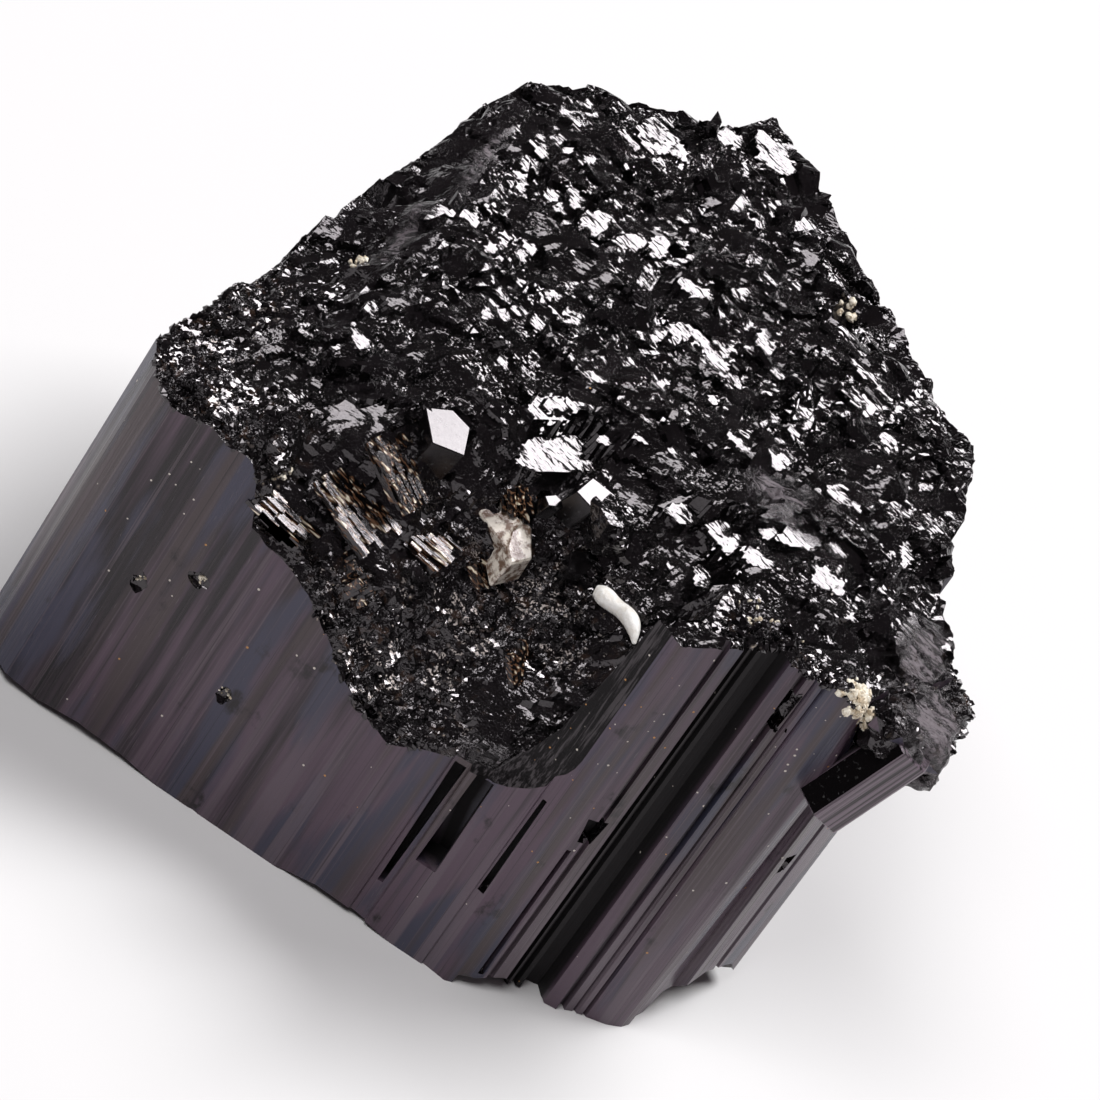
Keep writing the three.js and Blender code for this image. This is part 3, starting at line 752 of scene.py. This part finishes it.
def sparkle_group():
    """Tiny flat facets on the broken surfaces. Their height in mm, and which of them have grown
    parallel, with the way that those face."""
    given, end = group_tree(
        "sparkling_facets", "ShaderNodeTree",
        {"Place": "Vector", "Relief": "Float", "Parallel": "Float"},
        {"Height": "Float", "Chosen": "Float", "Facing": "Vector"})
    place = given["Place"]
    coarse, own, _ = splinters(place, place, 0.24 * MM, (1.3, 0.8, 1), 0.24, 0.03 * MM)
    fine, _, _ = splinters(place, place, 0.12 * MM, (1.2, 0.9, 1), 0.22, 0.01 * MM)
    facing = (own - (0.15, 0.5, 0.5)) * 0.30 + tuple(GLINT_FACING)
    set_inputs(end, Height=(coarse + fine) * given["Relief"] / MM,
               Chosen=work("LESS_THAN", own.part(0), given["Parallel"]),
               Facing=work("NORMALIZE", facing))
    return end.id_data


def use_group(place, group, **inputs):
    made = add_node(place.tree, "ShaderNodeGroup", {"node_tree": group}, Place=place, **inputs)
    return {output.name: Wire(output) for output in made.outputs}


def attributes(place, *names):
    return [Wire(add_node(place.tree, "ShaderNodeAttribute", {"attribute_name": name})
                 .outputs["Fac"]) for name in names]


def bumps(*layers):
    """The normal with one bump on another. Each is (height, distance)."""
    normal = None
    for height, distance in layers:
        made = add_node(height.tree, "ShaderNodeBump", Height=height, Distance=distance,
                        Strength=1.0)
        if normal is not None:
            set_inputs(made, Normal=normal)
        normal = Wire(made.outputs[0])
    return normal


def prism_material(finish, dust):
    """Satin prism faces with striations, streaks of violet, blue and brown, and dark smudges, with
    a painted floor reflection lower right and painted shade in the grooves.
    """
    material, surface, place = shader_material("prism_face")
    streaks = noise(place, 1.1 * MM, (1, 1, 30), 4.0, 0.65)
    blues = noise(place, 2.2 * MM, (1, 1, 6), 3.0)
    browns = noise(place, 1.7 * MM, (1, 1, 20))
    clouds = noise(place, 3.2 * MM, (1, 1, 1.4), 5.0, 0.65)
    hairs = noise(place, 0.16 * MM, (1, 1, 300), 3.0, 0.7)
    scratches = noise(place, 0.10 * MM, (1, 1, 16), 2.0, 0.6)
    bands = noise(place, 1.4 * MM, (1, 1, 80), 1.0)
    wide = noise(place, 0.9 * MM, (1, 1, 200))
    pits = noise(place, 0.25 * MM, (1, 1, 2.5), 3.0, 0.7)
    rightward = ramp(place.part("X"), -24 * MM, 4 * MM)
    upward = ramp(place.part("Z"), 9 * MM, 22 * MM)
    low = ramp(place.part("Z"), 15 * MM, 3 * MM)
    # painted floor reflection: the violet streaks widen towards the right and the bottom of the
    # faces
    streaks = streaks + spread(rightward, -0.12, 0.07) + low * 0.07
    groove, = attributes(place, "groove")
    specks = use_group(place, dust, Share=spread(rightward * upward, 0.10, 0.55))
    colour = layered(
        finish.prism_black,
        (ramp(streaks, 0.36, 0.64), finish.violet),
        (ramp(blues, 0.48, 0.62), finish.blue),
        (ramp(browns, 0.54, 0.66), finish.brown),
        (ramp(clouds, 0.60, 0.70), finish.prism_black),
        # painted floor reflection: pale bands only low on the right
        (ramp(bands, 0.52, 0.56) * (low * rightward) * 0.8, (0.125, 0.098, 0.118)),
        (ramp(hairs, 0.54, 0.70) * 0.6, (0.115, 0.090, 0.105)),
        (ramp(scratches, 0.68, 0.76) * 0.6, (0.13, 0.115, 0.12)),
        (ramp(hairs, 0.42, 0.30) * 0.8, finish.prism_black),
        # painted shade deep in the slots and grooves: black where the groove depth is 1
        (groove, finish.black), (specks["Mask"], specks["Colour"]))
    satin = spread(streaks, finish.satin - 0.08, finish.satin + 0.14)
    set_inputs(surface, Specular_IOR_Level=0.30, Base_Color=colour,
               Roughness=greatest(satin, groove * 0.7, specks["Mask"]),
               Normal=bumps((wide, 0.05 * MM), (hairs, 0.03 * MM), (pits, 0.012 * MM)))
    return material


def fracture_material(finish, dust, sparkle):
    """Glassy black break: wavy on the flakes, and a crust of grains where it is gritty, with pale
    specks that are pale mineral and, in the hollow, also painted glints.
    """
    material, surface, place = shader_material("glassy_fracture")
    grit, ragged, matte, calm, parallel = attributes(
        place, "grit", "ragged", "dull", "calm", "bright")
    soft = noise(place, 1.6 * MM, detail=3.0)
    fibres = noise(place, 0.5 * MM, (3.5, 0.7, 1), 5.0, 0.7)
    warm = noise(place, 0.9 * MM, detail=3.0, rough=0.6)
    ripples = noise(place, 0.55 * MM, (2.0, 0.75, 1), 2.0, 0.45)
    crust = noise(place, 0.26 * MM)
    clusters = noise(place, 2.0 * MM, (1.5, 1, 1), 2.5, 0.6)
    crumbs = noise(place, 0.13 * MM, rough=0.6)
    patches = noise(place, 0.7 * MM)

    dull = ramp(fibres + (matte - 1.0) * 0.4, 0.42, 0.58)
    clusters = ramp(clusters, 0.49, 0.58) * (1.0 - greatest(matte, calm))
    facets = use_group(place, sparkle, Relief=spread(ragged, 0.05, 0.6),
                       Parallel=(parallel * 0.27 + grit * 0.36) * clusters)
    specks = use_group(place, dust, Share=0.02)
    # pale specks on the facets that face the window: partly pale mineral, and in the hollow, where
    # the window light does not reach, painted glints
    hollow = ramp(place.part("Z"), HOLLOW_TOP, HOLLOW_FLOOR)
    pale = greatest(hollow, ramp(patches, 0.48, 0.58)) * facets["Chosen"] * grit
    colour = layered(
        finish.black,
        (ramp(soft, 0.45, 0.7), (0.006, 0.005, 0.0055)),
        (ramp(warm, 0.56, 0.66) * grit * 0.7, (0.05, 0.028, 0.018)),
        (dull, finish.dull), (specks["Mask"], specks["Colour"]),
        (pale * ramp(crumbs, 0.49, 0.55), (0.86, 0.76, 0.72)))
    glassy = spread(soft, finish.glassy - 0.05, finish.glassy + 0.06)
    bumped = bumps((ripples * spread(ragged, 0.75, 1.2), 0.12 * MM), (crust * grit, 0.12 * MM),
                   (fibres * matte, 0.25 * MM), (facets["Height"], MM))
    set_inputs(surface, Base_Color=colour, Roughness=greatest(glassy, dull * 0.7, specks["Mask"]),
               Normal=mix("VECTOR", facets["Chosen"], bumped, facets["Facing"]))
    return material


def shell_material(finish, dust, sparkle):
    """The dark, shell-shaped break, with fine upright lines and pale dust."""
    material, surface, place = shader_material("shell_break")
    lines = noise(place, 0.20 * MM, (1, 1, 20), 4.0, 0.7)
    specks = use_group(place, dust, Share=0.65)
    facets = use_group(place, sparkle, Relief=0.3, Parallel=0.0)
    colour = layered(finish.black, (ramp(lines, 0.48, 0.60), (0.065, 0.058, 0.062)),
                     (specks["Mask"], specks["Colour"]))
    set_inputs(surface, Specular_IOR_Level=0.12, Base_Color=colour,
               Roughness=spread(lines, 0.22, 0.42),
               Normal=bumps((lines, 0.07 * MM), (facets["Height"], MM)))
    return material


def base_material(finish):
    """The broken base, a duller and more even black."""
    material, surface, place = shader_material("base_break")
    mottle = noise(place, 1.2 * MM, detail=4.0)
    set_inputs(surface, Roughness=spread(mottle, 0.2, 0.55), Normal=bumps((mottle, 0.2 * MM)),
               Base_Color=layered(finish.black, (ramp(mottle, 0.4, 0.7), (0.030, 0.025, 0.028))))
    return material


class TOURMALINE_OT_body(bpy.types.Operator):
    """Cover the solid with its striated prism faces and its splintered fracture"""

    bl_idname = "tourmaline.body"
    bl_label = "Crystal body"

    def execute(self, context):
        surface = context.scene.tourmaline_surface
        finish = context.scene.tourmaline_finish
        piece = merged_copy("crystal_body")
        mesh = piece.data
        dust, sparkle = dust_group(), sparkle_group()
        for material in (prism_material(finish, dust), fracture_material(finish, dust, sparkle),
                         shell_material(finish, dust, sparkle), base_material(finish)):
            mesh.materials.append(material)
        mesh.polygons.foreach_set("material_index", sort_faces(mesh))
        sink_side_crystal(mesh)
        cut_ribs(piece, surface.rib_pitch, seed=3)
        divide(piece, FRACTURE, surface.flake_cuts)
        divide(piece, SHELL, BREAK_CUTS)
        divide(piece, BASE, BREAK_CUTS)
        round_shell(mesh)
        mark_vertices(mesh)
        relief = piece.modifiers.new("relief", "NODES")
        relief.node_group = relief_tree(surface)
        apply_modifier(piece, relief)
        select_only(piece)
        bpy.ops.object.shade_smooth_by_angle(angle=SMOOTH_ANGLE)
        finish_piece(piece, replaced=(NODE,))
        return {"FINISHED"}


def divide(piece, kind, cuts):
    """Cuts the faces of one kind into smaller triangles."""
    edit_selected(piece, face_kinds(piece.data) == kind,
                  lambda: bpy.ops.mesh.quads_convert_to_tris(),
                  lambda: bpy.ops.mesh.subdivide(number_cuts=cuts, smoothness=0))


def round_shell(mesh):
    """Brings the inner vertices of the shell-shaped break onto its true round form."""
    inner = np.zeros(len(mesh.vertices), bool)
    edge = np.zeros(len(mesh.vertices), bool)
    for polygon, kind in zip(mesh.polygons, face_kinds(mesh)):
        (inner if kind == SHELL else edge)[list(polygon.vertices)] = True
    inner &= ~edge
    places = vertex_array(mesh)
    outward, away = out_of_shell(places[inner])
    places[inner] += outward * (SHELL_RADIUS * MM - away)[:, None]
    move_vertices(mesh, places)


# ---------- small crystals, flakes, needles and grains ----------

FACETS = [  # flat tops of small crystals: (corners, facing, depth), mm
    ([(-10.4, -17.2, 27.4), (-9.1, -16.0, 27.5), (-7.8, -16.1, 27.1), (-7.2, -17.9, 26.5),
      (-9.0, -18.8, 26.7)], (0.16, -0.18, 0.97), 4.4),
    ([(0.5, -16.1, 24.1), (1.7, -15.1, 24.4), (2.0, -15.6, 24.2), (1.8, -16.9, 23.7),
      (1.0, -17.2, 23.6)], (0.10, -0.33, 0.94), 2.4),
    ([(-1.1, -15.3, 27.0), (-0.8, -13.8, 27.3), (0.7, -13.6, 27.1), (2.4, -13.9, 26.7),
      (1.9, -15.1, 26.5), (0.3, -15.4, 26.8)], GLINT_FACING, 2.6),
    ([(-2.4, -15.3, 25.6), (-1.9, -14.7, 25.7), (-1.1, -14.7, 25.5), (-1.2, -15.0, 25.4),
      (-1.9, -15.6, 25.4)], GLINT_FACING, 1.6),
]
LUMP = [  # the pale lump in the hollow: (corners, facing, depth), mm
    ([(-2.8, -16.8, 23.6), (-2.9, -15.9, 23.8), (-2.0, -15.7, 23.7), (-1.0, -17.2, 23.0),
      (-1.8, -18.5, 22.8), (-2.5, -17.8, 23.2)], GLINT_FACING, 2.0),
    ([(-4.9, -16.8, 23.3), (-4.9, -15.2, 24.1), (-3.5, -15.9, 24.1), (-2.6, -16.4, 24.0),
      (-2.8, -17.0, 23.6), (-2.5, -17.9, 23.1), (-3.7, -17.4, 23.2)], (-0.2, -0.5, 0.85), 2.0),
]
NEEDLE_BEDS = [  # (middle, along, number, shortest, longest, half width, half length), mm
    ((-10.6, -20.9, 21.8), (0.93, -0.10, -0.34), 60, 0.7, 2.4, 1.5, 1.7),
    ((-9.6, -19.5, 24.2), (0.86, -0.20, -0.48), 44, 0.7, 2.3, 1.1, 1.5),
    ((-13.5, -23.1, 19.9), (0.93, 0.0, -0.20), 40, 0.7, 2.2, 1.1, 1.3),
    ((-8.3, -22.1, 18.9), (0.40, 0.0, 0.92), 26, 0.4, 1.2, 1.6, 0.4),
    ((-2.9, -17.9, 20.7), (0.80, -0.10, -0.60), 12, 0.6, 1.4, 0.6, 0.4),
    ((-3.4, -15.6, 24.6), (0.60, -0.30, -0.74), 12, 0.9, 1.9, 0.9, 0.5),
    ((-6.0, -18.9, 21.0), (0.93, 0.0, -0.15), 26, 0.5, 1.6, 1.0, 1.0),
    ((1.7, -20.0, 18.5), (0.62, -0.10, -0.78), 14, 0.8, 2.0, 0.7, 0.8),
]
NEEDLE_HEIGHT = (-0.25, 0.35)  # how far the needles of a bed stray up or down, mm
NEEDLE_RADIUS = (0.14, 0.30)  # mm
NEEDLE_TWIST = 0.12
WORM = [  # the white vein: (place, radius), mm
    ((2.8, -16.3, 23.0), 0.30), ((3.4, -16.3, 23.1), 0.78), ((4.3, -16.8, 23.1), 0.16),
    ((5.0, -16.9, 23.5), 0.66), ((5.7, -17.8, 23.6), 0.48), ((6.2, -18.5, 23.1), 0.10),
]
CREAM_SPOTS = [  # clusters of pale mineral grains: (middle, half size, number, grain), mm
    ((17.2, -18.0, 28.4), 0.45, 36, 0.20),
    ((18.0, -17.6, 27.8), 0.55, 60, 0.22),
    ((18.9, -16.6, 26.6), 0.45, 40, 0.15),
    ((19.6, -16.2, 25.8), 0.35, 20, 0.12),
    ((5.8, 11.9, 28.9), 0.5, 9, 0.22),
    ((-18.5, -8.3, 26.6), 0.5, 8, 0.18),
    ((-14.9, -21.9, 21.6), 0.6, 12, 0.12),
    ((-15.3, -23.5, 13.8), 0.25, 12, 0.09),
    ((-18.0, -23.5, 11.4), 0.25, 9, 0.08),
    ((-10.7, -23.5, 8.1), 0.30, 10, 0.08),
    ((10.6, -17.6, 28.3), 1.2, 30, 0.11),
]


def join(pieces, name):
    bpy.ops.object.select_all(action="DESELECT")
    for piece in pieces:
        piece.select_set(True)
    bpy.context.view_layer.objects.active = pieces[0]
    bpy.ops.object.join()
    whole = bpy.context.object
    whole.name = name
    bpy.ops.object.transform_apply(location=True, rotation=True, scale=True)
    return whole


def flat_block(corners, facing, depth, flare=1.12, bevel=0.05):
    """A block with a flat top that has these corners, going down into the crystal."""
    bpy.ops.object.select_all(action="DESELECT")
    bpy.ops.mesh.primitive_circle_add(vertices=len(corners), fill_type="NGON")
    block = bpy.context.object
    away = Vector(facing).normalized()
    middle = sum((Vector(c) for c in corners), Vector()) / len(corners)
    for vertex, corner in zip(block.data.vertices, corners):
        flat = Vector(corner) - away * (Vector(corner) - middle).dot(away)
        vertex.co = flat * MM
    bpy.ops.object.mode_set(mode="EDIT")
    bpy.ops.mesh.select_all(action="SELECT")
    bpy.ops.mesh.extrude_region_move(TRANSFORM_OT_translate={"value": away * -depth * MM})
    bpy.ops.transform.resize(value=(flare,) * 3, center_override=middle * MM - away * depth * MM)
    bpy.ops.mesh.select_all(action="SELECT")
    bpy.ops.mesh.normals_make_consistent(inside=False)
    if bevel:
        bpy.ops.mesh.bevel(offset=bevel * MM, segments=1, affect="EDGES")
    bpy.ops.object.mode_set(mode="OBJECT")
    return block


def between(start, end, radius, sides=6, turn=0.0):
    """A prism from start to end, in metres."""
    along = end - start
    bpy.ops.object.select_all(action="DESELECT")
    bpy.ops.mesh.primitive_cylinder_add(vertices=sides, radius=radius, depth=along.length)
    prism = bpy.context.object
    prism.rotation_mode = "QUATERNION"
    prism.rotation_quaternion = (along.to_track_quat("Z", "Y").to_matrix()
                                 @ Matrix.Rotation(turn, 3, "Z")).to_quaternion()
    prism.location = (start + end) / 2
    return prism


def grain_shapes():
    """Three small angular shapes that the grains are copied from."""
    shapes = []
    uneven = random.Random(5)
    for _ in range(3):
        bpy.ops.object.select_all(action="DESELECT")
        bpy.ops.mesh.primitive_ico_sphere_add(subdivisions=1, radius=1.0)
        shapes.append(bpy.context.object)
        for vertex in shapes[-1].data.vertices:
            vertex.co *= uneven.uniform(0.75, 1.2)
    return shapes


def grains(name, places, seed):
    """A grain at each (place, size) in metres, all joined in one piece."""
    uneven = random.Random(seed)
    shapes = grain_shapes()
    copies = []
    for place, size in places:
        copy = new_object("grain", uneven.choice(shapes).data.copy())
        copy.location = place
        copy.rotation_euler = [uneven.uniform(0, math.tau) for _ in range(3)]
        copy.scale = [size * uneven.uniform(0.6, 1.3) for _ in range(3)]
        copies.append(copy)
    for shape in shapes:
        bpy.data.objects.remove(shape)
    return join(copies, name)


def polished_material(finish, name, roughness, specular=0.5):
    material, surface, place = shader_material(name)
    flecks = noise(place, 0.3 * MM, detail=3.0)
    set_inputs(surface, Specular_IOR_Level=specular,
               Base_Color=layered(finish.black, (ramp(flecks, 0.62, 0.72), (0.05,) * 3)),
               Roughness=spread(flecks, roughness * 0.8, roughness * 1.25))
    return material


def mineral_material(name, light, dark, size, roughness, relief=0.12):
    material, surface, place = shader_material(name)
    spots = noise(place, size, detail=4.0, rough=0.65)
    set_inputs(surface, IOR=1.5, Roughness=roughness, Normal=bumps((spots, relief * MM)),
               Base_Color=layered(dark, (ramp(spots, 0.40, 0.58), light)))
    return material


def needle_material(finish):
    """Black needles with brown and cream ones among them."""
    material, surface, place = shader_material("needles")
    which = noise(place, 0.22 * MM, (9, 1, 1), 1.0)
    lines = noise(place, 0.07 * MM, (20, 1, 1))
    set_inputs(surface, Roughness=0.16, Normal=bumps((lines, 0.02 * MM)), Base_Color=layered(
        finish.black, (ramp(which, 0.50, 0.60), (0.13, 0.065, 0.035)),
        (ramp(which, 0.62, 0.70), finish.cream)))
    return material


class TOURMALINE_OT_small_crystals(bpy.types.Operator):
    """Set the flat-faced small crystals and the pale lump in the hollow"""

    bl_idname = "tourmaline.small_crystals"
    bl_label = "Small crystals and flakes"

    def execute(self, context):
        finish = context.scene.tourmaline_finish
        small = join([flat_block(*block) for block in FACETS], "small_crystals")
        finish_piece(small, polished_material(finish, "satin_facet", 0.2))
        lump = join([flat_block(*block, flare=1.4, bevel=0.10) for block in LUMP], "pale_lump")
        finish_piece(lump, mineral_material(
            "pale_mineral", (0.72, 0.66, 0.58), (0.16, 0.10, 0.07), 0.6 * MM, 0.2, relief=0.05))
        return {"FINISHED"}


class TOURMALINE_OT_side_crystal(bpy.types.Operator):
    """Lean the short striated crystal against the right-hand corner"""

    bl_idname = "tourmaline.side_crystal"
    bl_label = "Side crystal"

    def execute(self, context):
        finish = context.scene.tourmaline_finish
        start, end = SIDE_TIP * MM, SIDE_ROOT * MM
        prism = between(start, end, SIDE_RADIUS * 0.97 * MM, turn=math.radians(48))
        apply_place(prism)
        prism.name = "side_crystal"
        edit_selected(prism, np.ones(len(prism.data.polygons), bool),
                      lambda: bpy.ops.mesh.bevel(offset=0.09 * MM, segments=1, affect="EDGES"))
        prism.data.materials.append(side_material(finish, (end - start).normalized()))
        prism.data.materials.append(polished_material(finish, "black_face", 0.15, specular=0.12))
        up_left = max(prism.data.polygons, key=lambda face: face.area * max(
            0, face.normal.dot(BLACK_FACE)) ** 2)
        up_left.material_index = 1
        finish_piece(prism)
        return {"FINISHED"}


def side_material(finish, axis):
    """Striations along the leaning axis of the side crystal."""
    material, surface, place = shader_material("side_crystal")
    across = axis.orthogonal().normalized()
    frame_axes = zip("XYZ", (across, axis.cross(across), axis))
    turned = Wire(add_node(place.tree, "ShaderNodeCombineXYZ", **{
        name: work("DOT_PRODUCT", place, tuple(along)) for name, along in frame_axes}).outputs[0])
    lines = noise(turned, 0.3 * MM, (1, 1, 80), 3.0, 0.65)
    set_inputs(surface, Roughness=0.3, Normal=bumps((lines, 0.12 * MM)), Base_Color=layered(
        finish.black, (ramp(lines, 0.4, 0.62), (0.17, 0.13, 0.16))))
    return material


class TOURMALINE_OT_needles(bpy.types.Operator):
    """Grow beds of fine parallel needles at the front left of the hollow"""

    bl_idname = "tourmaline.needles"
    bl_label = "Needles"

    def execute(self, context):
        uneven = random.Random(11)
        needles = []
        for middle, along, number, shortest, longest, wide, long in NEEDLE_BEDS:
            axis = Vector(along).normalized()
            up = (GLINT_FACING - axis * GLINT_FACING.dot(axis)).normalized()
            side = axis.cross(up).normalized()
            for n in range(number):
                share = n / (number - 1) * 2 - 1
                at = Vector(middle) + side * share * wide
                at += axis * uneven.uniform(-long, long) + up * uneven.uniform(*NEEDLE_HEIGHT)
                half = axis * uneven.uniform(shortest, longest) / 2
                thick = uneven.uniform(*NEEDLE_RADIUS)
                ledge = between((at - half) * MM, (at + half) * MM, thick * MM, sides=4)
                across = ledge.rotation_quaternion @ Vector((1, 0, 0))
                turn = across.angle(up) * (1 if across.cross(up).dot(axis) > 0 else -1)
                lean = turn + math.pi / 4 + uneven.gauss(0, NEEDLE_TWIST)
                ledge.rotation_quaternion @= Quaternion((0, 0, 1), lean)
                needles.append(ledge)
        finish_piece(join(needles, "needles"),
                     needle_material(context.scene.tourmaline_finish))
        return {"FINISHED"}


class TOURMALINE_OT_grains(bpy.types.Operator):
    """Strew the crust with dark grains and the pale mineral in its few spots"""

    bl_idname = "tourmaline.grains"
    bl_label = "Grains"

    def execute(self, context):
        finish = context.scene.tourmaline_finish
        finish_piece(grains("crust_grains", crust_places(), 7), crust_material(finish))
        finish_piece(grains("cream_grains", cream_places(), 8), mineral_material(
            "cream_mineral", (0.93, 0.87, 0.74), (0.55, 0.45, 0.32), 0.5 * MM, 0.55))
        finish_piece(white_vein(), mineral_material(
            "white_vein", (0.95, 0.93, 0.90), (0.84, 0.80, 0.74), 0.6 * MM, 0.3))
        return {"FINISHED"}


def crust_places():
    """Places on the faces of the body that are gritty, a little sunk in."""
    mesh = bpy.data.objects["crystal_body"].data
    centres, normals = face_arrays(mesh)
    gritty = (face_kinds(mesh) == FRACTURE) & (amount(centres, GRITTY) > 0.4)
    gritty &= amount(centres, DULL) < 0.2
    uneven = np.random.default_rng(4)
    chosen = uneven.choice(np.flatnonzero(gritty), CRUST_GRAINS, replace=False)
    sizes = uneven.uniform(*CRUST_GRAIN, len(chosen)) * MM
    inside = centres[chosen] - normals[chosen] * sizes[:, None] * 0.2
    return [(Vector(place), size) for place, size in zip(inside, sizes)]


def cream_places():
    """Places on the body in and around the spots of pale mineral."""
    body = bpy.data.objects["crystal_body"]
    surface = BVHTree.FromObject(body, bpy.context.evaluated_depsgraph_get())
    uneven = random.Random(9)
    places = []
    for middle, reach, number, grain in CREAM_SPOTS:
        for _ in range(number):
            at = Vector(middle) + Vector([uneven.gauss(0, reach * 0.6) for _ in range(3)])
            nearest = surface.find_nearest(at * MM)[0]
            places.append((nearest, grain * uneven.uniform(0.7, 1.5) * MM))
    return places


def white_vein():
    """A smooth white bead of mineral, bent like a worm."""
    bpy.ops.object.select_all(action="DESELECT")
    bpy.ops.curve.primitive_nurbs_path_add()
    path = bpy.context.object
    spline = path.data.splines[0]
    spline.points.add(len(WORM) - len(spline.points))
    spline.use_endpoint_u = True
    for point, (place, radius) in zip(spline.points, WORM):
        point.co = (*(Vector(place) * MM), 1)
        point.radius = radius
    path.data.bevel_depth = MM
    path.data.use_fill_caps = True
    bpy.ops.object.convert(target="MESH")
    vein = bpy.context.object
    vein.name = "white_vein"
    apply_place(vein)
    bpy.ops.object.shade_smooth()
    return vein


def crust_material(finish):
    """Glossy dark grains, some of them grey or brown."""
    material, surface, place = shader_material("crust_grains")
    which = noise(place, 0.7 * MM)
    set_inputs(surface, Roughness=0.14, Base_Color=layered(
        finish.black, (ramp(which, 0.60, 0.70), (0.08, 0.068, 0.064)),
        (ramp(which, 0.69, 0.74), (0.5, 0.42, 0.33))))
    return material


# ---------- the stage ----------

class TOURMALINE_OT_stage(bpy.types.Operator):
    """Lay the floor, hang the lights and place the camera"""

    bl_idname = "tourmaline.stage"
    bl_label = "Floor, lights and camera"

    def execute(self, context):
        stage = context.scene.tourmaline_stage
        context.scene.view_settings.view_transform = "Standard"
        floor()
        room(context.scene, stage.sky)
        soft_light("window", stage.key_strength, azimuth=38, elevation=58, distance=2.0,
                   size=(0.85, 0.80))
        soft_light("fill", stage.fill_strength, azimuth=215, elevation=62, distance=2.0,
                   size=(1.1, 0.75))
        camera(context.scene, stage)
        return {"FINISHED"}


def floor():
    bpy.ops.object.select_all(action="DESELECT")
    bpy.ops.mesh.primitive_plane_add(size=FLOOR_SIZE)
    sheet = bpy.context.object
    sheet.name = "floor"
    material = bpy.data.materials.new("white_floor")
    material.use_nodes = True
    set_inputs(material.node_tree.nodes["Principled BSDF"], Roughness=0.9,
               Base_Color=(0.770, 0.762, 0.766, 1), Specular_IOR_Level=0.0)
    sheet.data.materials.append(material)


def room(scene, colour):
    world = bpy.data.worlds.new("room")
    world.use_nodes = True
    set_inputs(world.node_tree.nodes["Background"], Color=(*colour, 1.0), Strength=1.0)
    scene.world = world


def soft_light(name, radiance, azimuth, elevation, distance, size):
    """A rectangular light that faces the crystal. Azimuth 0 is behind it, seen from the front."""
    turn, rise = math.radians(azimuth), math.radians(elevation)
    towards = Vector((math.sin(turn) * math.cos(rise), math.cos(turn) * math.cos(rise),
                      math.sin(rise)))
    lamp = bpy.data.lights.new(name, "AREA")
    lamp.shape = "RECTANGLE"
    lamp.size, lamp.size_y = size
    lamp.energy = radiance * math.pi * size[0] * size[1]
    stand = new_object(name, lamp)
    stand.location = towards * distance
    stand.rotation_mode = "QUATERNION"
    stand.rotation_quaternion = towards.to_track_quat("Z", "Y")


def camera(scene, stage):
    lens = bpy.data.cameras.new("camera")
    lens.sensor_width = SENSOR
    lens.lens = LENS
    lens.clip_start = 0.01
    eye = new_object("camera", lens)
    back = Vector((0, -math.cos(stage.elevation), math.sin(stage.elevation)))
    eye.location = Vector(stage.look_at) + back * stage.distance
    turn = Matrix.Rotation(math.pi / 2 - stage.elevation, 4, "X")
    eye.rotation_mode = "QUATERNION"
    eye.rotation_quaternion = (turn @ Matrix.Rotation(stage.roll, 4, "Z")).to_quaternion()
    scene.camera = eye


# ---------- the add-on ----------

class TOURMALINE_PT_panel(bpy.types.Panel):
    """The steps that build the crystal, in order"""

    bl_idname = "TOURMALINE_PT_panel"
    bl_label = "Black tourmaline"
    bl_space_type = "VIEW_3D"
    bl_region_type = "UI"
    bl_category = "Tourmaline"

    def draw(self, context):
        for step in STEPS:
            self.layout.operator(step.bl_idname)


STEPS = (TOURMALINE_OT_stage, TOURMALINE_OT_body, TOURMALINE_OT_small_crystals,
         TOURMALINE_OT_side_crystal, TOURMALINE_OT_needles, TOURMALINE_OT_grains)
CLASSES = (SurfaceSettings, FinishSettings, StageSettings, *STEPS, TOURMALINE_PT_panel)


def register():
    for cls in CLASSES:
        bpy.utils.register_class(cls)
    bpy.types.Scene.tourmaline_surface = PointerProperty(type=SurfaceSettings)
    bpy.types.Scene.tourmaline_finish = PointerProperty(type=FinishSettings)
    bpy.types.Scene.tourmaline_stage = PointerProperty(type=StageSettings)


def unregister():
    del bpy.types.Scene.tourmaline_surface
    del bpy.types.Scene.tourmaline_finish
    del bpy.types.Scene.tourmaline_stage
    for cls in reversed(CLASSES):
        bpy.utils.unregister_class(cls)


def main():
    register()
    for step in STEPS:
        name = step.bl_idname.split(".")[1]
        getattr(bpy.ops.tourmaline, name)()


if __name__ == "__main__":
    main()
